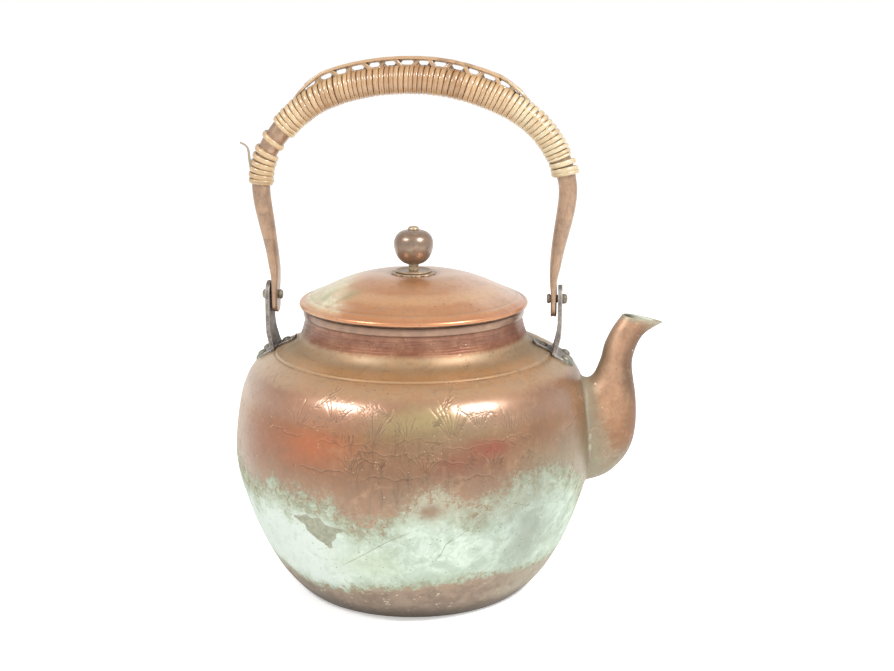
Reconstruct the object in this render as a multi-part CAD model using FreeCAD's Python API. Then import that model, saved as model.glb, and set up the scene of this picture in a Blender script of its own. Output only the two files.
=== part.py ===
import FreeCAD, Part
import math, os

# Copper kettle with a swinging bail handle, a lift-off lid and one spout.
# Frame: origin at the centre of the base, +Z up, spout towards +X, handle
# pivots on a line parallel to X.  All lengths in millimetres.

os.makedirs("parts", exist_ok=True)
V = FreeCAD.Vector

# ---------------------------------------------------------------- dimensions
WALL = 1.2                    # sheet thickness of body, spout and lid
BODY_OUT = [                  # outer profile of the body, radius and height
    (58.1, 0.0), (60.9, 2.3), (65.0, 6.6), (69.9, 13.0), (75.2, 22.3),
    (81.0, 35.3), (86.0, 50.1), (88.8, 60.0), (90.0, 71.0), (89.7, 80.0),
    (88.3, 91.0), (86.4, 100.3), (83.9, 107.5), (81.4, 111.6), (78.4, 114.7),
    (74.6, 117.4), (70.4, 119.5), (66.0, 121.4), (62.0, 123.0), (59.3, 124.7),
    (57.4, 127.0), (56.0, 130.0), (55.0, 133.5), (54.5, 136.0), (54.3, 138.0)]
NECK_TOP = 138.0              # upper edge of the body sheet
NECK_R = 54.3                 # outer radius there
BASE_R = 56.8                 # base disc radius
BASE_T = 1.2                  # base disc thickness
BASE_FLANGE = 5.0             # height of the turned-up edge inside the body

RING_TOP = 142.6              # top of the mouth ring, the seat of the lid
RING_IN = 52.3                # inner radius of the mouth ring

LID_SEAT = 142.62             # underside of the lid's seat flange
LID_TOP = 158.5               # flat middle of the lid
LID_FLAT = 13.0               # radius of that flat
LID_PROFILE = [(13.0, 158.5), (18.0, 158.35), (22.0, 158.0), (26.0, 157.35),
               (30.0, 156.4), (34.0, 155.2), (38.0, 153.7), (42.0, 151.9),
               (45.6, 150.15), (48.5, 148.85), (51.4, 147.55), (54.0, 146.1), (55.3, 145.1)]
LID_BEAD = (55.5, 144.1, 1.5) # rolled edge: centre radius, height, its radius
COLLAR_OUT = 51.6             # plug ring under the lid
COLLAR_T = 1.0
COLLAR_LOW = 134.0

STEM_R = 2.0                  # knob stem
STEM_COLLAR_R = 2.6
KNOB_LOW = 163.2
KNOB_HIGH = 180.2
KNOB_CLEAR = 0.05             # running clearance, radial and axial
KNOB_PROFILE = [(3.3, 163.2), (5.2, 164.0), (7.1, 165.6), (8.6, 167.9),
                (9.5, 170.6), (9.8, 173.2), (9.4, 175.7), (8.2, 177.8),
                (6.0, 179.4), (3.2, 180.2)]
TOP_NUB = 182.1

PIVOT_Z = 146.6               # handle pivot height
PIN_R = 1.9
PIN_CLEAR = 0.05              # radial running clearance in the handle ends
STRAP_IN, STRAP_OUT = 71.9, 74.1   # lug strap, distance from the axis
STRAP_TOP_R = 7.0             # rounded upper end of the strap
STRAP_BASE_HALF = 10.0        # half width at the foot
FOOT_T = 1.4                  # thickness of the lug foot
RIVET_R = 1.25
BLADE_IN, BLADE_OUT = 68.3, 71.3   # flattened handle end
BLADE_HALF = 6.0
BLADE_LOW = 137.6

# handle centreline with in-plane and sideways half sizes of the copper tube
HANDLE = [
    (-69.8, 149.5, 1.50, 6.0), (-69.6, 156.0, 1.85, 5.7), (-70.3, 163.0, 2.75, 5.2),
    (-71.3, 170.5, 3.20, 4.9), (-72.7, 178.5, 3.70, 4.7), (-74.2, 187.0, 4.15, 4.5),
    (-75.5, 195.5, 4.40, 4.4), (-75.8, 203.0, 4.50, 4.5), (-74.9, 210.0, 4.70, 4.7),
    (-71.9, 218.5, 5.00, 5.0), (-66.4, 226.8, 5.30, 5.3), (-58.6, 235.2, 5.50, 5.5),
    (-47.5, 243.4, 5.65, 5.65), (-33.0, 249.2, 5.70, 5.7), (-16.5, 252.5, 5.70, 5.7),
    (0.0, 253.5, 5.70, 5.7), (16.5, 252.1, 5.70, 5.7), (33.0, 247.7, 5.65, 5.65),
    (47.5, 241.4, 5.50, 5.5), (58.6, 233.9, 5.40, 5.4), (66.6, 225.0, 5.20, 5.2),
    (72.0, 215.6, 5.00, 5.0), (75.0, 207.0, 4.60, 4.6), (75.9, 200.0, 4.50, 4.5),
    (75.4, 193.5, 4.40, 4.4), (74.1, 185.5, 4.10, 4.5), (72.5, 177.5, 3.70, 4.7),
    (71.2, 170.0, 3.20, 4.9), (70.3, 163.0, 2.75, 5.2), (69.6, 156.0, 1.85, 5.7),
    (69.8, 149.5, 1.50, 6.0)]
TUBE_WALL = 1.0
WRAP_T = 1.55                 # rattan strand thickness over the tube
BIND_T = 1.75                 # end bindings stand a little prouder
I_BIND_L = (6.9, 9.25)        # stations between which the left binding runs
I_WRAP = (9.25, 21)
I_BIND_R = (21, 22)
RUNNER_T = 1.3                # strip along the top of the grip
RUNNER_W = 5.0
LACE_H = 2.3                  # open height under the strip
LACE_W = 3.0
LACE_HOLES = 12

# spout: back point, front point, half width, and how far the front end is
# drawn to a point (0 round, 1 sharp)
SPOUT = [
    ((76.0, 108.5), (76.0, 51.0), 16.6, 0.0),
    ((84.5, 107.0), (88.6, 53.6), 16.2, 0.0),
    ((88.2, 106.9), (98.6, 57.6), 15.2, 0.0),
    ((90.7, 109.4), (106.4, 65.8), 13.8, 0.0),
    ((92.2, 112.8), (110.9, 76.0), 12.2, 0.0),
    ((93.4, 116.2), (112.0, 88.5), 10.6, 0.0),
    ((94.3, 119.8), (111.0, 101.5), 9.2, 0.0),
    ((95.2, 123.9), (109.3, 113.5), 8.2, 0.0),
    ((97.0, 128.3), (110.9, 122.6), 7.5, 0.05),
    ((99.6, 133.2), (115.2, 130.0), 7.0, 0.25),
    ((103.6, 138.9), (123.9, 135.7), 6.6, 0.62)]
SPOUT_IN = [                  # hollow of the spout, carried past the mouth
    ((76.0, 107.0), (76.0, 53.0), 15.2, 0.0),
    ((84.9, 105.6), (88.1, 55.4), 14.9, 0.0),
    ((89.0, 105.7), (97.5, 59.4), 13.9, 0.0),
    ((91.9, 108.6), (105.1, 67.4), 12.5, 0.0),
    ((93.5, 112.3), (109.5, 77.0), 10.9, 0.0),
    ((94.7, 115.9), (110.7, 88.8), 9.3, 0.0),
    ((95.6, 119.5), (109.7, 101.2), 7.9, 0.0),
    ((96.5, 123.6), (107.9, 113.2), 6.9, 0.0),
    ((98.3, 127.9), (109.2, 122.4), 6.2, 0.05),
    ((100.9, 132.8), (112.8, 129.7), 5.7, 0.15),
    ((104.9, 138.8), (118.4, 136.4), 5.2, 0.45),
    ((107.0, 143.6), (122.5, 141.6), 5.2, 0.50)]
STRAINER_R = 2.0              # strainer holes in the body behind the spout
STRAINER_PITCH = 6.8

Z = V(0, 0, 1)
O = V(0, 0, 0)


# ------------------------------------------------------------------- helpers
def spline(pts, t0=None, t1=None):
    c = Part.BSplineCurve()
    v = [V(r, 0, z) for r, z in pts]
    if t0 is not None:
        c.interpolate(Points=v, InitialTangent=V(t0[0], 0, t0[1]), FinalTangent=V(t1[0], 0, t1[1]))
    else:
        c.interpolate(v)
    return c


def offset(curve, d, n=40):
    """points at distance d to the left of the curve's travel"""
    a, b = curve.FirstParameter, curve.LastParameter
    out = []
    for i in range(n + 1):
        u = a + (b - a) * i / n
        p = curve.value(u)
        t = curve.tangent(u)[0]
        out.append((p.x - t.z * d, p.z + t.x * d))
    return out


def seg(p, q):
    return Part.LineSegment(V(p[0], 0, p[1]), V(q[0], 0, q[1])).toShape()


def revolve(edges):
    w = Part.Wire(Part.__sortEdges__(edges))
    r = Part.Face(w).revolve(O, Z, 360)
    r = r.Solids[0] if r.Solids else r
    if r.Volume < 0:
        r.reverse()
    r.rotate(O, Z, 77.3)          # keeps the closing seam clear of spout and lugs
    return r


def poly(pts):
    return revolve([seg(pts[i], pts[(i + 1) % len(pts)]) for i in range(len(pts))])


def closed(pts):
    """closed many-sided section through the points"""
    return Part.makePolygon(pts + [pts[0]])


def solid(s):
    """one clean solid"""
    if s.ShapeType == "Solid":
        return s
    ss = s.Solids
    if len(ss) == 1:
        return ss[0]
    return max(ss, key=lambda q: q.Volume)


DONE = {}


def save(name, shape):
    n = len(shape.Solids)
    ok = shape.isValid()
    bb = shape.BoundBox
    print("%-22s solids %2d valid %s vol %9.1f  X %.1f..%.1f Y %.1f..%.1f Z %.1f..%.1f" % (
        name, n, ok, shape.Volume, bb.XMin, bb.XMax, bb.YMin, bb.YMax, bb.ZMin, bb.ZMax))
    shape.exportStep("parts/%s.step" % name)
    DONE[name] = shape


# ---------------------------------------------------------------------- body
outer = spline(BODY_OUT)


def bands(d, n=30):
    """points of the body's profile moved d to the left of its travel (inwards), as conical bands"""
    a, b = outer.FirstParameter, outer.LastParameter
    out = []
    for i in range(n + 1):
        u = a + (b - a) * i / n
        p = outer.value(u)
        t = outer.tangent(u)[0]
        out.append((p.x - t.z * d, p.z + t.x * d))
    out[-1] = (NECK_R - d, NECK_TOP)
    return out


out_pts = bands(0.0)
inner_pts = bands(WALL)
body_full = poly(out_pts + [(0, NECK_TOP), (0, 0)])
body = poly(out_pts + list(reversed(inner_pts)) + [(BASE_R, 0.6), (BASE_R, 0)])


def body_grown(d):
    """solid inside the body's outer surface moved outwards by d"""
    pts = bands(-d)
    return poly(pts + [(0, NECK_TOP), (0, pts[0][1])])


# base disc with a turned-up flange lapped inside the body
r5 = max(r for r, z in inner_pts if z <= BASE_FLANGE + 2.0)
raw = poly([(0, 0), (BASE_R, 0), (BASE_R, 0.6), (r5 + 1.0, BASE_FLANGE), (r5 - 2.6, BASE_FLANGE),
            (BASE_R - 0.9, BASE_T), (0, BASE_T)])
base = solid(raw.cut(body).common(body_full))

# -------------------------------------------------------------------- mouth
ring = poly([(NECK_R, NECK_TOP), (54.8, 138.5), (55.1, 139.6), (55.1, 141.1), (54.7, 142.1), (53.8, RING_TOP),
             (52.9, RING_TOP), (RING_IN, 142.0), (RING_IN, 138.6), (NECK_R - WALL, NECK_TOP)])


# -------------------------------------------------------------------- spout
def egg(back, front, w, point, shrink=0.0, n=20):
    """closed section through back and front, widest across Y"""
    bx, bz = back
    fx, fz = front
    L = math.hypot(fx - bx, fz - bz)
    ex, ez = (fx - bx) / L, (fz - bz) / L
    a = L / 2.0 - shrink
    cx, cz = (bx + fx) / 2.0, (bz + fz) / 2.0
    ww = w - shrink
    pts = []
    for i in range(n):
        t = 2 * math.pi * i / n
        u = math.cos(t)
        k = 1.0 - point * ((1 + u) / 2.0) ** 1.2
        pts.append(V(cx + ex * a * u, ww * math.sin(t) * k, cz + ez * a * u))
    return closed(pts)


def denser(stations, m=2):
    """m spans for every span of the station list, on smooth curves"""
    def curve(v):
        c = Part.BSplineCurve()
        c.interpolate(Points=v, Parameters=[float(i) for i in range(len(v))])
        return c
    cb = curve([V(b[0], 0, b[1]) for b, f, w, k in stations])
    cf = curve([V(f[0], 0, f[1]) for b, f, w, k in stations])
    cw = curve([V(w, k, 0) for b, f, w, k in stations])
    out = []
    for i in range((len(stations) - 1) * m + 1):
        u = i / float(m)
        b, f, w = cb.value(u), cf.value(u), cw.value(u)
        out.append(((b.x, b.z), (f.x, f.z), w.x, max(0.0, w.y)))
    return out


def spout_loft(shrink, stations):
    return solid(Part.makeLoft([egg(b, f, w, p, shrink, 22) for b, f, w, p in denser(stations)], True, True))


s_out = spout_loft(0.0, SPOUT)
s_in = spout_loft(0.0, SPOUT_IN)
spout = solid(s_out.cut(body_full).cut(s_in))

# brazed fillet round the spout's root
s_big = spout_loft(-1.5, SPOUT[:6])
seam = s_big.cut(body_full).common(body_grown(1.1)).cut(s_out)
seam_parts = [q for q in seam.Solids if q.Volume > 1.0]
seam = seam_parts[0] if len(seam_parts) == 1 else Part.makeCompound(seam_parts)

# strainer holes
holes = []
rows = 7
for j in range(rows):
    zz = 80.5 + (j - (rows - 1) / 2.0) * STRAINER_PITCH * 0.866
    for i in range(-2, 3):
        yy = (i + (0.5 if j % 2 else 0.0)) * STRAINER_PITCH
        if (yy / 12.0) ** 2 + ((zz - 80.5) / 22.0) ** 2 <= 1.0:
            holes.append(Part.makeCylinder(STRAINER_R, 20, V(80, yy, zz), V(1, 0, 0)))
print("strainer holes", len(holes))
for h in holes:
    body = body.cut(h)


# --------------------------------------------------------------------- lugs
def prism_z(pts, z0, z1):
    w = Part.Wire([Part.LineSegment(V(pts[i][0], pts[i][1], z0),
                                    V(pts[(i + 1) % len(pts)][0], pts[(i + 1) % len(pts)][1], z0)).toShape()
                   for i in range(len(pts))])
    return Part.Face(w).extrude(V(0, 0, z1 - z0))


def prism_y(pts, y0, y1):
    w = Part.Wire([Part.LineSegment(V(pts[i][0], y0, pts[i][1]),
                                    V(pts[(i + 1) % len(pts)][0], y0, pts[(i + 1) % len(pts)][1])).toShape()
                   for i in range(len(pts))])
    return Part.Face(w).extrude(V(0, y1 - y0, 0))


def prism_x(pts, x0, x1):
    w = Part.Wire([Part.LineSegment(V(x0, pts[i][0], pts[i][1]),
                                    V(x0, pts[(i + 1) % len(pts)][0], pts[(i + 1) % len(pts)][1])).toShape()
                   for i in range(len(pts))])
    return Part.Face(w).extrude(V(x1 - x0, 0, 0))


grown = body_grown(FOOT_T)
# plan of the foot: long inner tongue towards the neck, half-round outer tongue
foot_plan = [(60.2, -2.2), (61.4, -3.2), (66.5, -4.2), (68.6, -5.2), (69.6, -10.2), (71.0, -11.0), (74.5, -10.8),
             (77.6, -8.6), (79.8, -5.0), (80.6, 0.0)]
foot_plan = foot_plan + [(x, -y) for x, y in reversed(foot_plan[:-1])]
foot_plan.insert(0, (59.6, 0.0))
foot = grown.common(prism_z(foot_plan, 100, 135)).cut(body_full)
foot = solid(foot)
# strap: straight above, leaning in to the foot below
strap_side = [(STRAP_IN, 160), (STRAP_OUT, 160), (STRAP_OUT, 133.0), (73.7, 128.0), (72.6, 123.5), (71.4, 119.0),
              (70.6, 115.0), (68.4, 115.0), (69.2, 119.5), (70.4, 124.0), (71.4, 128.5), (STRAP_IN, 133.0)]
strap_front = []
for i in range(0, 25):
    t = math.pi * i / 24.0
    strap_front.append((STRAP_TOP_R * math.cos(t), PIVOT_Z + STRAP_TOP_R * math.sin(t)))
strap_front += [(-7.2, 138.0), (-8.2, 128.0), (-STRAP_BASE_HALF, 118.0), (-STRAP_BASE_HALF, 112.0),
                (STRAP_BASE_HALF, 112.0), (STRAP_BASE_HALF, 118.0), (8.2, 128.0), (7.2, 138.0)]
strap = prism_y(strap_side, -12, 12).common(prism_x(strap_front, 60, 80)).cut(body_full)
strap = solid(strap)
lug = solid(foot.fuse(strap).removeSplitter())
lug = solid(lug.cut(Part.makeCylinder(PIN_R, 20, V(65, 0, PIVOT_Z), V(1, 0, 0))))

# rivets: where they stand on the foot, in plan
RIVET_AT = [(75.6, -6.6), (75.6, 6.6), (64.4, 0.0)]


def surface_at(rr):
    """height and slope of the body's outer surface at a radius on the shoulder"""
    best = None
    a, b = outer.FirstParameter, outer.LastParameter
    for i in range(2001):
        u = a + (b - a) * i / 2000.0
        p = outer.value(u)
        if p.z > 90 and (best is None or abs(p.x - rr) < best[0]):
            best = (abs(p.x - rr), p, outer.tangent(u)[0])
    return best[1], best[2]


def rivet_raw(x, y):
    rr = math.hypot(x, y)
    p, t = surface_at(rr)
    c, s = x / rr, y / rr
    nx, nz = t.z, -t.x                      # outward normal in the radial plane
    n = V(nx * c, nx * s, nz)
    at = V(p.x * c, p.x * s, p.z)
    # profile about local z: 0 is the body's outer surface
    pts = [(0, -2.1), (1.2, -2.0), (1.9, -1.6), (2.1, -1.0), (RIVET_R, -1.0), (RIVET_R, 1.2), (2.3, 1.2), (2.25, 1.8),
           (1.7, 2.35), (0.9, 2.6), (0, 2.65)]
    r = poly(pts)
    rot = FreeCAD.Rotation(V(0, 0, 1), n)
    r.Placement = FreeCAD.Placement(at, rot)
    hole = Part.makeCylinder(RIVET_R, 6, V(0, 0, -3))
    hole.Placement = FreeCAD.Placement(at, rot).multiply(hole.Placement)
    return r, hole


riv_raw = [rivet_raw(x, y) for x, y in RIVET_AT]
for r, h in riv_raw:
    lug = solid(lug.cut(h))


def mirror(s):
    return s.mirror(O, V(1, 0, 0))


rivets_r = []
rivets_l = []
for r, h in riv_raw:
    body = body.cut(h).cut(mirror(h))
for r, h in riv_raw:
    rr = solid(r.cut(lug).cut(body))
    rivets_r.append(rr)
    rivets_l.append(mirror(rr))
body = solid(body)
lug_r = lug
lug_l = mirror(lug)

# pivot pins, headed at both ends
pin_prof = [(0, 66.3), (1.7, 66.35), (2.3, 66.8), (2.4, 67.4), (2.4, 67.9), (PIN_R, 67.9), (PIN_R, STRAP_OUT),
            (2.5, STRAP_OUT), (2.5, 75.3), (2.2, 76.0), (1.4, 76.5), (0, 76.6)]
pin = poly(pin_prof)
pin.Placement = FreeCAD.Placement(V(0, 0, PIVOT_Z), FreeCAD.Rotation(V(0, 0, 1), V(1, 0, 0)))
pin_r = pin
pin_l = mirror(pin)

# ---------------------------------------------------------------------- lid
lid_top = spline(LID_PROFILE, (1, 0), (0.82, -0.57))
top_pts = offset(lid_top, 0.0, 16)
top_pts[0] = (LID_FLAT, LID_TOP)
under_pts = offset(lid_top, -WALL, 16)
under_pts[0] = (LID_FLAT, LID_TOP - WALL)
lid = poly([(STEM_R, LID_TOP)] + top_pts + list(reversed(under_pts)) + [(STEM_R, LID_TOP - WALL)])
bead = Part.makeTorus(LID_BEAD[0], LID_BEAD[2], V(0, 0, LID_BEAD[1]))
lid = solid(lid.fuse(bead).removeSplitter())
# plug ring with a seat flange
collar_raw = poly([(COLLAR_OUT - COLLAR_T, COLLAR_LOW), (COLLAR_OUT, COLLAR_LOW), (COLLAR_OUT, LID_SEAT),
                   (53.7, LID_SEAT), (53.7, LID_SEAT + 1.0), (COLLAR_OUT, LID_SEAT + 1.0),
                   (COLLAR_OUT, 152.0), (COLLAR_OUT - COLLAR_T, 152.0)])
lid_block = poly([(0, LID_TOP - WALL)] + under_pts + [(under_pts[-1][0], 130), (0, 130)])
collar = solid(collar_raw.common(lid_block).cut(lid))

rosette = poly([(STEM_R, LID_TOP), (11.2, LID_TOP), (11.4, 158.95), (10.2, 159.7), (9.0, 160.25), (8.2, 160.1),
                (7.0, 159.7), (4.6, 159.5), (STEM_R, 159.5)])
for i in range(12):
    an = 2 * math.pi * (i + 0.5) / 12
    rosette = rosette.cut(Part.makeCylinder(1.5, 5, V(12.3 * math.cos(an), 12.3 * math.sin(an), 157)))
rosette = solid(rosette)
rove = poly([(STEM_R, 156.2), (6.0, 156.2), (6.0, LID_TOP - WALL), (STEM_R, LID_TOP - WALL)])
stem = poly([(0, 154.9), (1.8, 155.05), (3.0, 155.6), (3.4, 156.2), (STEM_R, 156.2), (STEM_R, 159.5),
             (STEM_COLLAR_R, 159.5), (STEM_COLLAR_R, KNOB_LOW - KNOB_CLEAR), (STEM_R, KNOB_LOW - KNOB_CLEAR),
             (STEM_R, KNOB_HIGH + KNOB_CLEAR), (2.6, KNOB_HIGH + KNOB_CLEAR), (2.7, 180.95), (2.2, 181.65),
             (1.2, 182.02), (0, TOP_NUB)])
kc = spline(KNOB_PROFILE)
bore = STEM_R + KNOB_CLEAR
knob = revolve([kc.toShape(), seg(KNOB_PROFILE[-1], (bore, KNOB_HIGH)), seg((bore, KNOB_HIGH), (bore, KNOB_LOW)),
                seg((bore, KNOB_LOW), KNOB_PROFILE[0])])

# ------------------------------------------------------------------- handle
path = Part.BSplineCurve()
path.interpolate([V(h[0], 0, h[1]) for h in HANDLE])
par = [path.parameter(V(h[0], 0, h[1])) for h in HANDLE]


def frame_at(i):
    """centre, tangent and outward in-plane normal at station i (may be fractional)"""
    k = int(math.floor(i))
    f = i - k
    if f > 1e-9:
        u = par[k] * (1 - f) + par[k + 1] * f
        a = HANDLE[k][2] * (1 - f) + HANDLE[k + 1][2] * f
        b = HANDLE[k][3] * (1 - f) + HANDLE[k + 1][3] * f
    else:
        u = par[k]
        a, b = HANDLE[k][2], HANDLE[k][3]
    p = path.value(u)
    t = path.tangent(u)[0]
    return p, t, V(-t.z, 0, t.x), a, b


def ring_wire(i, add, n=16):
    p, t, nn, a, b = frame_at(i)
    pts = []
    for k in range(n):
        w = 2 * math.pi * k / n
        q = p + nn * ((a + add) * math.cos(w))
        pts.append(V(q.x, (b + add) * math.sin(w), q.z))
    return closed(pts)


def tube(i0, i1, add, step=0.5):
    idx = []
    i = i0
    while i < i1 - 1e-9:
        idx.append(i)
        i += step
    idx.append(i1)
    return solid(Part.makeLoft([ring_wire(i, add) for i in idx], True, True))


tube_out = tube(0, len(HANDLE) - 1, 0.0)
cavity = tube(2, len(HANDLE) - 3, -TUBE_WALL)


def blade(sign):
    pts = []
    zc = BLADE_LOW + 5.0
    pts.append((-BLADE_HALF, 151.5))
    for k in range(0, 13):
        w = math.pi * k / 12.0
        yy = -math.cos(w) * BLADE_HALF
        pts.append((yy, zc - math.sin(w) * 5.0))
    pts.append((BLADE_HALF, 151.5))
    s = prism_x(pts, BLADE_IN, BLADE_OUT)
    return s if sign > 0 else mirror(s)


handle = solid(tube_out.cut(cavity))
handle = handle.fuse(blade(1)).fuse(blade(-1))
handle = solid(handle)
for sx in (1, -1):
    handle = handle.cut(Part.makeCylinder(PIN_R + PIN_CLEAR, 12, V(sx * 64.0, 0, PIVOT_Z), V(sx, 0, 0)))
handle = solid(handle)

wrap_out = tube(I_WRAP[0], I_WRAP[1], WRAP_T)
wrap = solid(wrap_out.cut(tube_out))
bind_l = solid(tube(I_BIND_L[0], I_BIND_L[1], BIND_T, 0.47).cut(tube_out))
bind_r = solid(tube(I_BIND_R[0], I_BIND_R[1] - 0.05, BIND_T, 0.475).cut(tube_out))

# runner strip: lifts off the wrap in the middle and comes down to it at both ends
R0, R1 = 11.45, 18.5


def lift(i):
    s = (i - R0) / (R1 - R0)
    e = min(s, 1 - s) / 0.17
    e = max(0.0, min(1.0, e))
    return e * e * (3 - 2 * e)


def strip_wire(i, lo, hi, w):
    p, t, nn, a, b = frame_at(i)
    top = a + WRAP_T
    c = []
    for yy, d in ((-w / 2, lo), (w / 2, lo), (w / 2, hi), (-w / 2, hi)):
        q = p + nn * (top + d)
        c.append(V(q.x, yy, q.z))
    return Part.Wire([Part.LineSegment(c[k], c[(k + 1) % 4]).toShape() for k in range(4)])


def strip(i0, i1, lo, hi, w, n):
    ws = []
    for k in range(n + 1):
        i = i0 + (i1 - i0) * k / n
        L = lift(i)
        ws.append(strip_wire(i, lo(L), hi(L), w))
    return solid(Part.makeLoft(ws, True, False))


runner = strip(R0, R1, lambda L: -0.9 + (LACE_H + 0.9) * L, lambda L: 0.5 + (LACE_H + RUNNER_T - 0.5) * L, RUNNER_W, 26)
runner = solid(runner.cut(wrap_out))
band = strip(12.0, 18.0, lambda L: -0.9, lambda L: LACE_H * L + 0.3, LACE_W, 22)
band = band.cut(wrap_out).cut(runner)
cutters = []
L0, L1 = 12.4, 17.65
for k in range(LACE_HOLES):
    i = L0 + (L1 - L0) * k / (LACE_HOLES - 1)
    p, t, nn, a, b = frame_at(i)
    m = a + WRAP_T + LACE_H * lift(i) / 2.0 + 0.05
    hh = 0.85 * lift(i) + 0.05
    c = []
    for du, dv in ((-2.3, 0), (-1.1, -hh), (1.1, -hh), (2.3, 0), (1.1, hh), (-1.1, hh)):
        q = p + nn * (m + dv) + t * du
        c.append(V(q.x, -5, q.z))
    w = Part.Wire([Part.LineSegment(c[j], c[(j + 1) % 6]).toShape() for j in range(6)])
    band = band.cut(Part.Face(w).extrude(V(0, 10, 0)))
lacing = solid(band)

# loose strand end standing out from the left binding
WHISKER = [(-79.6, -2.2, 208.5), (-80.6, -3.0, 215.4), (-81.9, -3.4, 221.2), (-84.9, -3.6, 222.9)]
wc = Part.BSplineCurve()
wc.interpolate([V(*p) for p in WHISKER])
wire = Part.Wire([wc.toShape()])
prof = Part.Wire([Part.Circle(V(*WHISKER[0]), wc.tangent(wc.FirstParameter)[0], 0.65).toShape()])
whisk = wire.makePipeShell([prof], True, False)
whisk = solid(whisk)
whisk = solid(whisk.cut(bind_l).cut(wrap_out))

# ------------------------------------------------------------------- output
save("body_shell", body)
save("base_plate", base)
save("neck_rim_ring", ring)
save("spout", spout)
save("spout_seam", seam)
save("lug_left", lug_l)
save("lug_right", lug_r)
save("lug_rivets_left", Part.makeCompound(rivets_l))
save("lug_rivets_right", Part.makeCompound(rivets_r))
save("hinge_pin_left", pin_l)
save("hinge_pin_right", pin_r)
save("lid_shell", lid)
save("lid_collar", collar)
save("lid_rosette", rosette)
save("knob_stem", stem)
save("stem_rove", rove)
save("lid_knob", knob)
save("handle_tube", handle)
save("rattan_wrap", wrap)
save("rattan_lacing", lacing)
save("rattan_runner", runner)
save("rattan_binding_left", bind_l)
save("rattan_binding_right", bind_r)
save("rattan_loose_end", whisk)
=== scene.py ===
"""Copper kettle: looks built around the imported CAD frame. Lengths are in millimetres until a mesh is made."""
import bpy
import bmesh
import math
import numpy as np
from mathutils import Vector, Matrix


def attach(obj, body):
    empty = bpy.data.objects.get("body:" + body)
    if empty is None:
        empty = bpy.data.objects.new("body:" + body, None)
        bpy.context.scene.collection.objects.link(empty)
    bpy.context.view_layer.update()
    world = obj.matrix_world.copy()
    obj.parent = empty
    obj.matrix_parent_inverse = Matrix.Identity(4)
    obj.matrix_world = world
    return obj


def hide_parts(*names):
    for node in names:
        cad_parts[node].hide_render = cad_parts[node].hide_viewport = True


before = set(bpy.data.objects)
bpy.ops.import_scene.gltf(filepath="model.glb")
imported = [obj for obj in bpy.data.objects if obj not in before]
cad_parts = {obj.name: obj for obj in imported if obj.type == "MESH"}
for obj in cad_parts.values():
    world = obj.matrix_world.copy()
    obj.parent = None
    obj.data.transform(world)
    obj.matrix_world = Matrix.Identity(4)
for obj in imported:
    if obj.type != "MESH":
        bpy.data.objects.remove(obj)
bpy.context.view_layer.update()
MM = 0.001
D2R = math.pi / 180.0
scene = bpy.context.scene

# ------------------------------------------------------------------ camera
cam = bpy.data.cameras.new("camera")
cam.sensor_fit = "HORIZONTAL"
cam.sensor_width = 36.0
cam.lens = 58.11
cam.clip_start = 0.01
cam.clip_end = 50.0
cam_o = bpy.data.objects.new("camera", cam)
scene.collection.objects.link(cam_o)
CAM_AT = Vector((0.075735, -0.703530, 0.2905))
CAM_DIR = Vector((-0.08151, 0.97073, -0.22593))
cam_o.location = CAM_AT
cam_o.rotation_euler = CAM_DIR.to_track_quat("-Z", "Y").to_euler()
scene.camera = cam_o

# ---------------------------------------------------------------- numbers
# the same driving numbers as the CAD source
WALL = 1.2
BODY_OUT = [(58.1, 0.0), (60.9, 2.3), (65.0, 6.6), (69.9, 13.0), (75.2, 22.3), (81.0, 35.3), (86.0, 50.1), (88.8, 60.0),
            (90.0, 71.0), (89.7, 80.0), (88.3, 91.0), (86.4, 100.3), (83.9, 107.5), (81.4, 111.6), (78.4, 114.7),
            (74.6, 117.4), (70.4, 119.5), (66.0, 121.4), (62.0, 123.0), (59.3, 124.7), (57.4, 127.0), (56.0, 130.0),
            (55.0, 133.5), (54.5, 136.0), (54.3, 138.0)]
LID_TOP = 158.5
LID_PROFILE = [(13.0, 158.5), (18.0, 158.35), (22.0, 158.0), (26.0, 157.35), (30.0, 156.4), (34.0, 155.2),
               (38.0, 153.7), (42.0, 151.9), (45.6, 150.15), (48.5, 148.85), (51.4, 147.55), (54.0, 146.1), (55.3, 145.1)]
KNOB_PROFILE = [(3.3, 163.2), (5.2, 164.0), (7.1, 165.6), (8.6, 167.9), (9.5, 170.6), (9.8, 173.2), (9.4, 175.7),
                (8.2, 177.8), (6.0, 179.4), (3.2, 180.2)]
PIVOT_Z = 146.6
HANDLE = [
    (-69.8, 149.5, 1.50, 6.0), (-69.6, 156.0, 1.85, 5.7), (-70.3, 163.0, 2.75, 5.2), (-71.3, 170.5, 3.20, 4.9),
    (-72.7, 178.5, 3.70, 4.7), (-74.2, 187.0, 4.15, 4.5), (-75.5, 195.5, 4.40, 4.4), (-75.8, 203.0, 4.50, 4.5),
    (-74.9, 210.0, 4.70, 4.7), (-71.9, 218.5, 5.00, 5.0), (-66.4, 226.8, 5.30, 5.3), (-58.6, 235.2, 5.50, 5.5),
    (-47.5, 243.4, 5.65, 5.65), (-33.0, 249.2, 5.70, 5.7), (-16.5, 252.5, 5.70, 5.7), (0.0, 253.5, 5.70, 5.7),
    (16.5, 252.1, 5.70, 5.7), (33.0, 247.7, 5.65, 5.65), (47.5, 241.4, 5.50, 5.5), (58.6, 233.9, 5.40, 5.4),
    (66.6, 225.0, 5.20, 5.2), (72.0, 215.6, 5.00, 5.0), (75.0, 207.0, 4.60, 4.6), (75.9, 200.0, 4.50, 4.5),
    (75.4, 193.5, 4.40, 4.4), (74.1, 185.5, 4.10, 4.5), (72.5, 177.5, 3.70, 4.7), (71.2, 170.0, 3.20, 4.9),
    (70.3, 163.0, 2.75, 5.2), (69.6, 156.0, 1.85, 5.7), (69.8, 149.5, 1.50, 6.0)]
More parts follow.
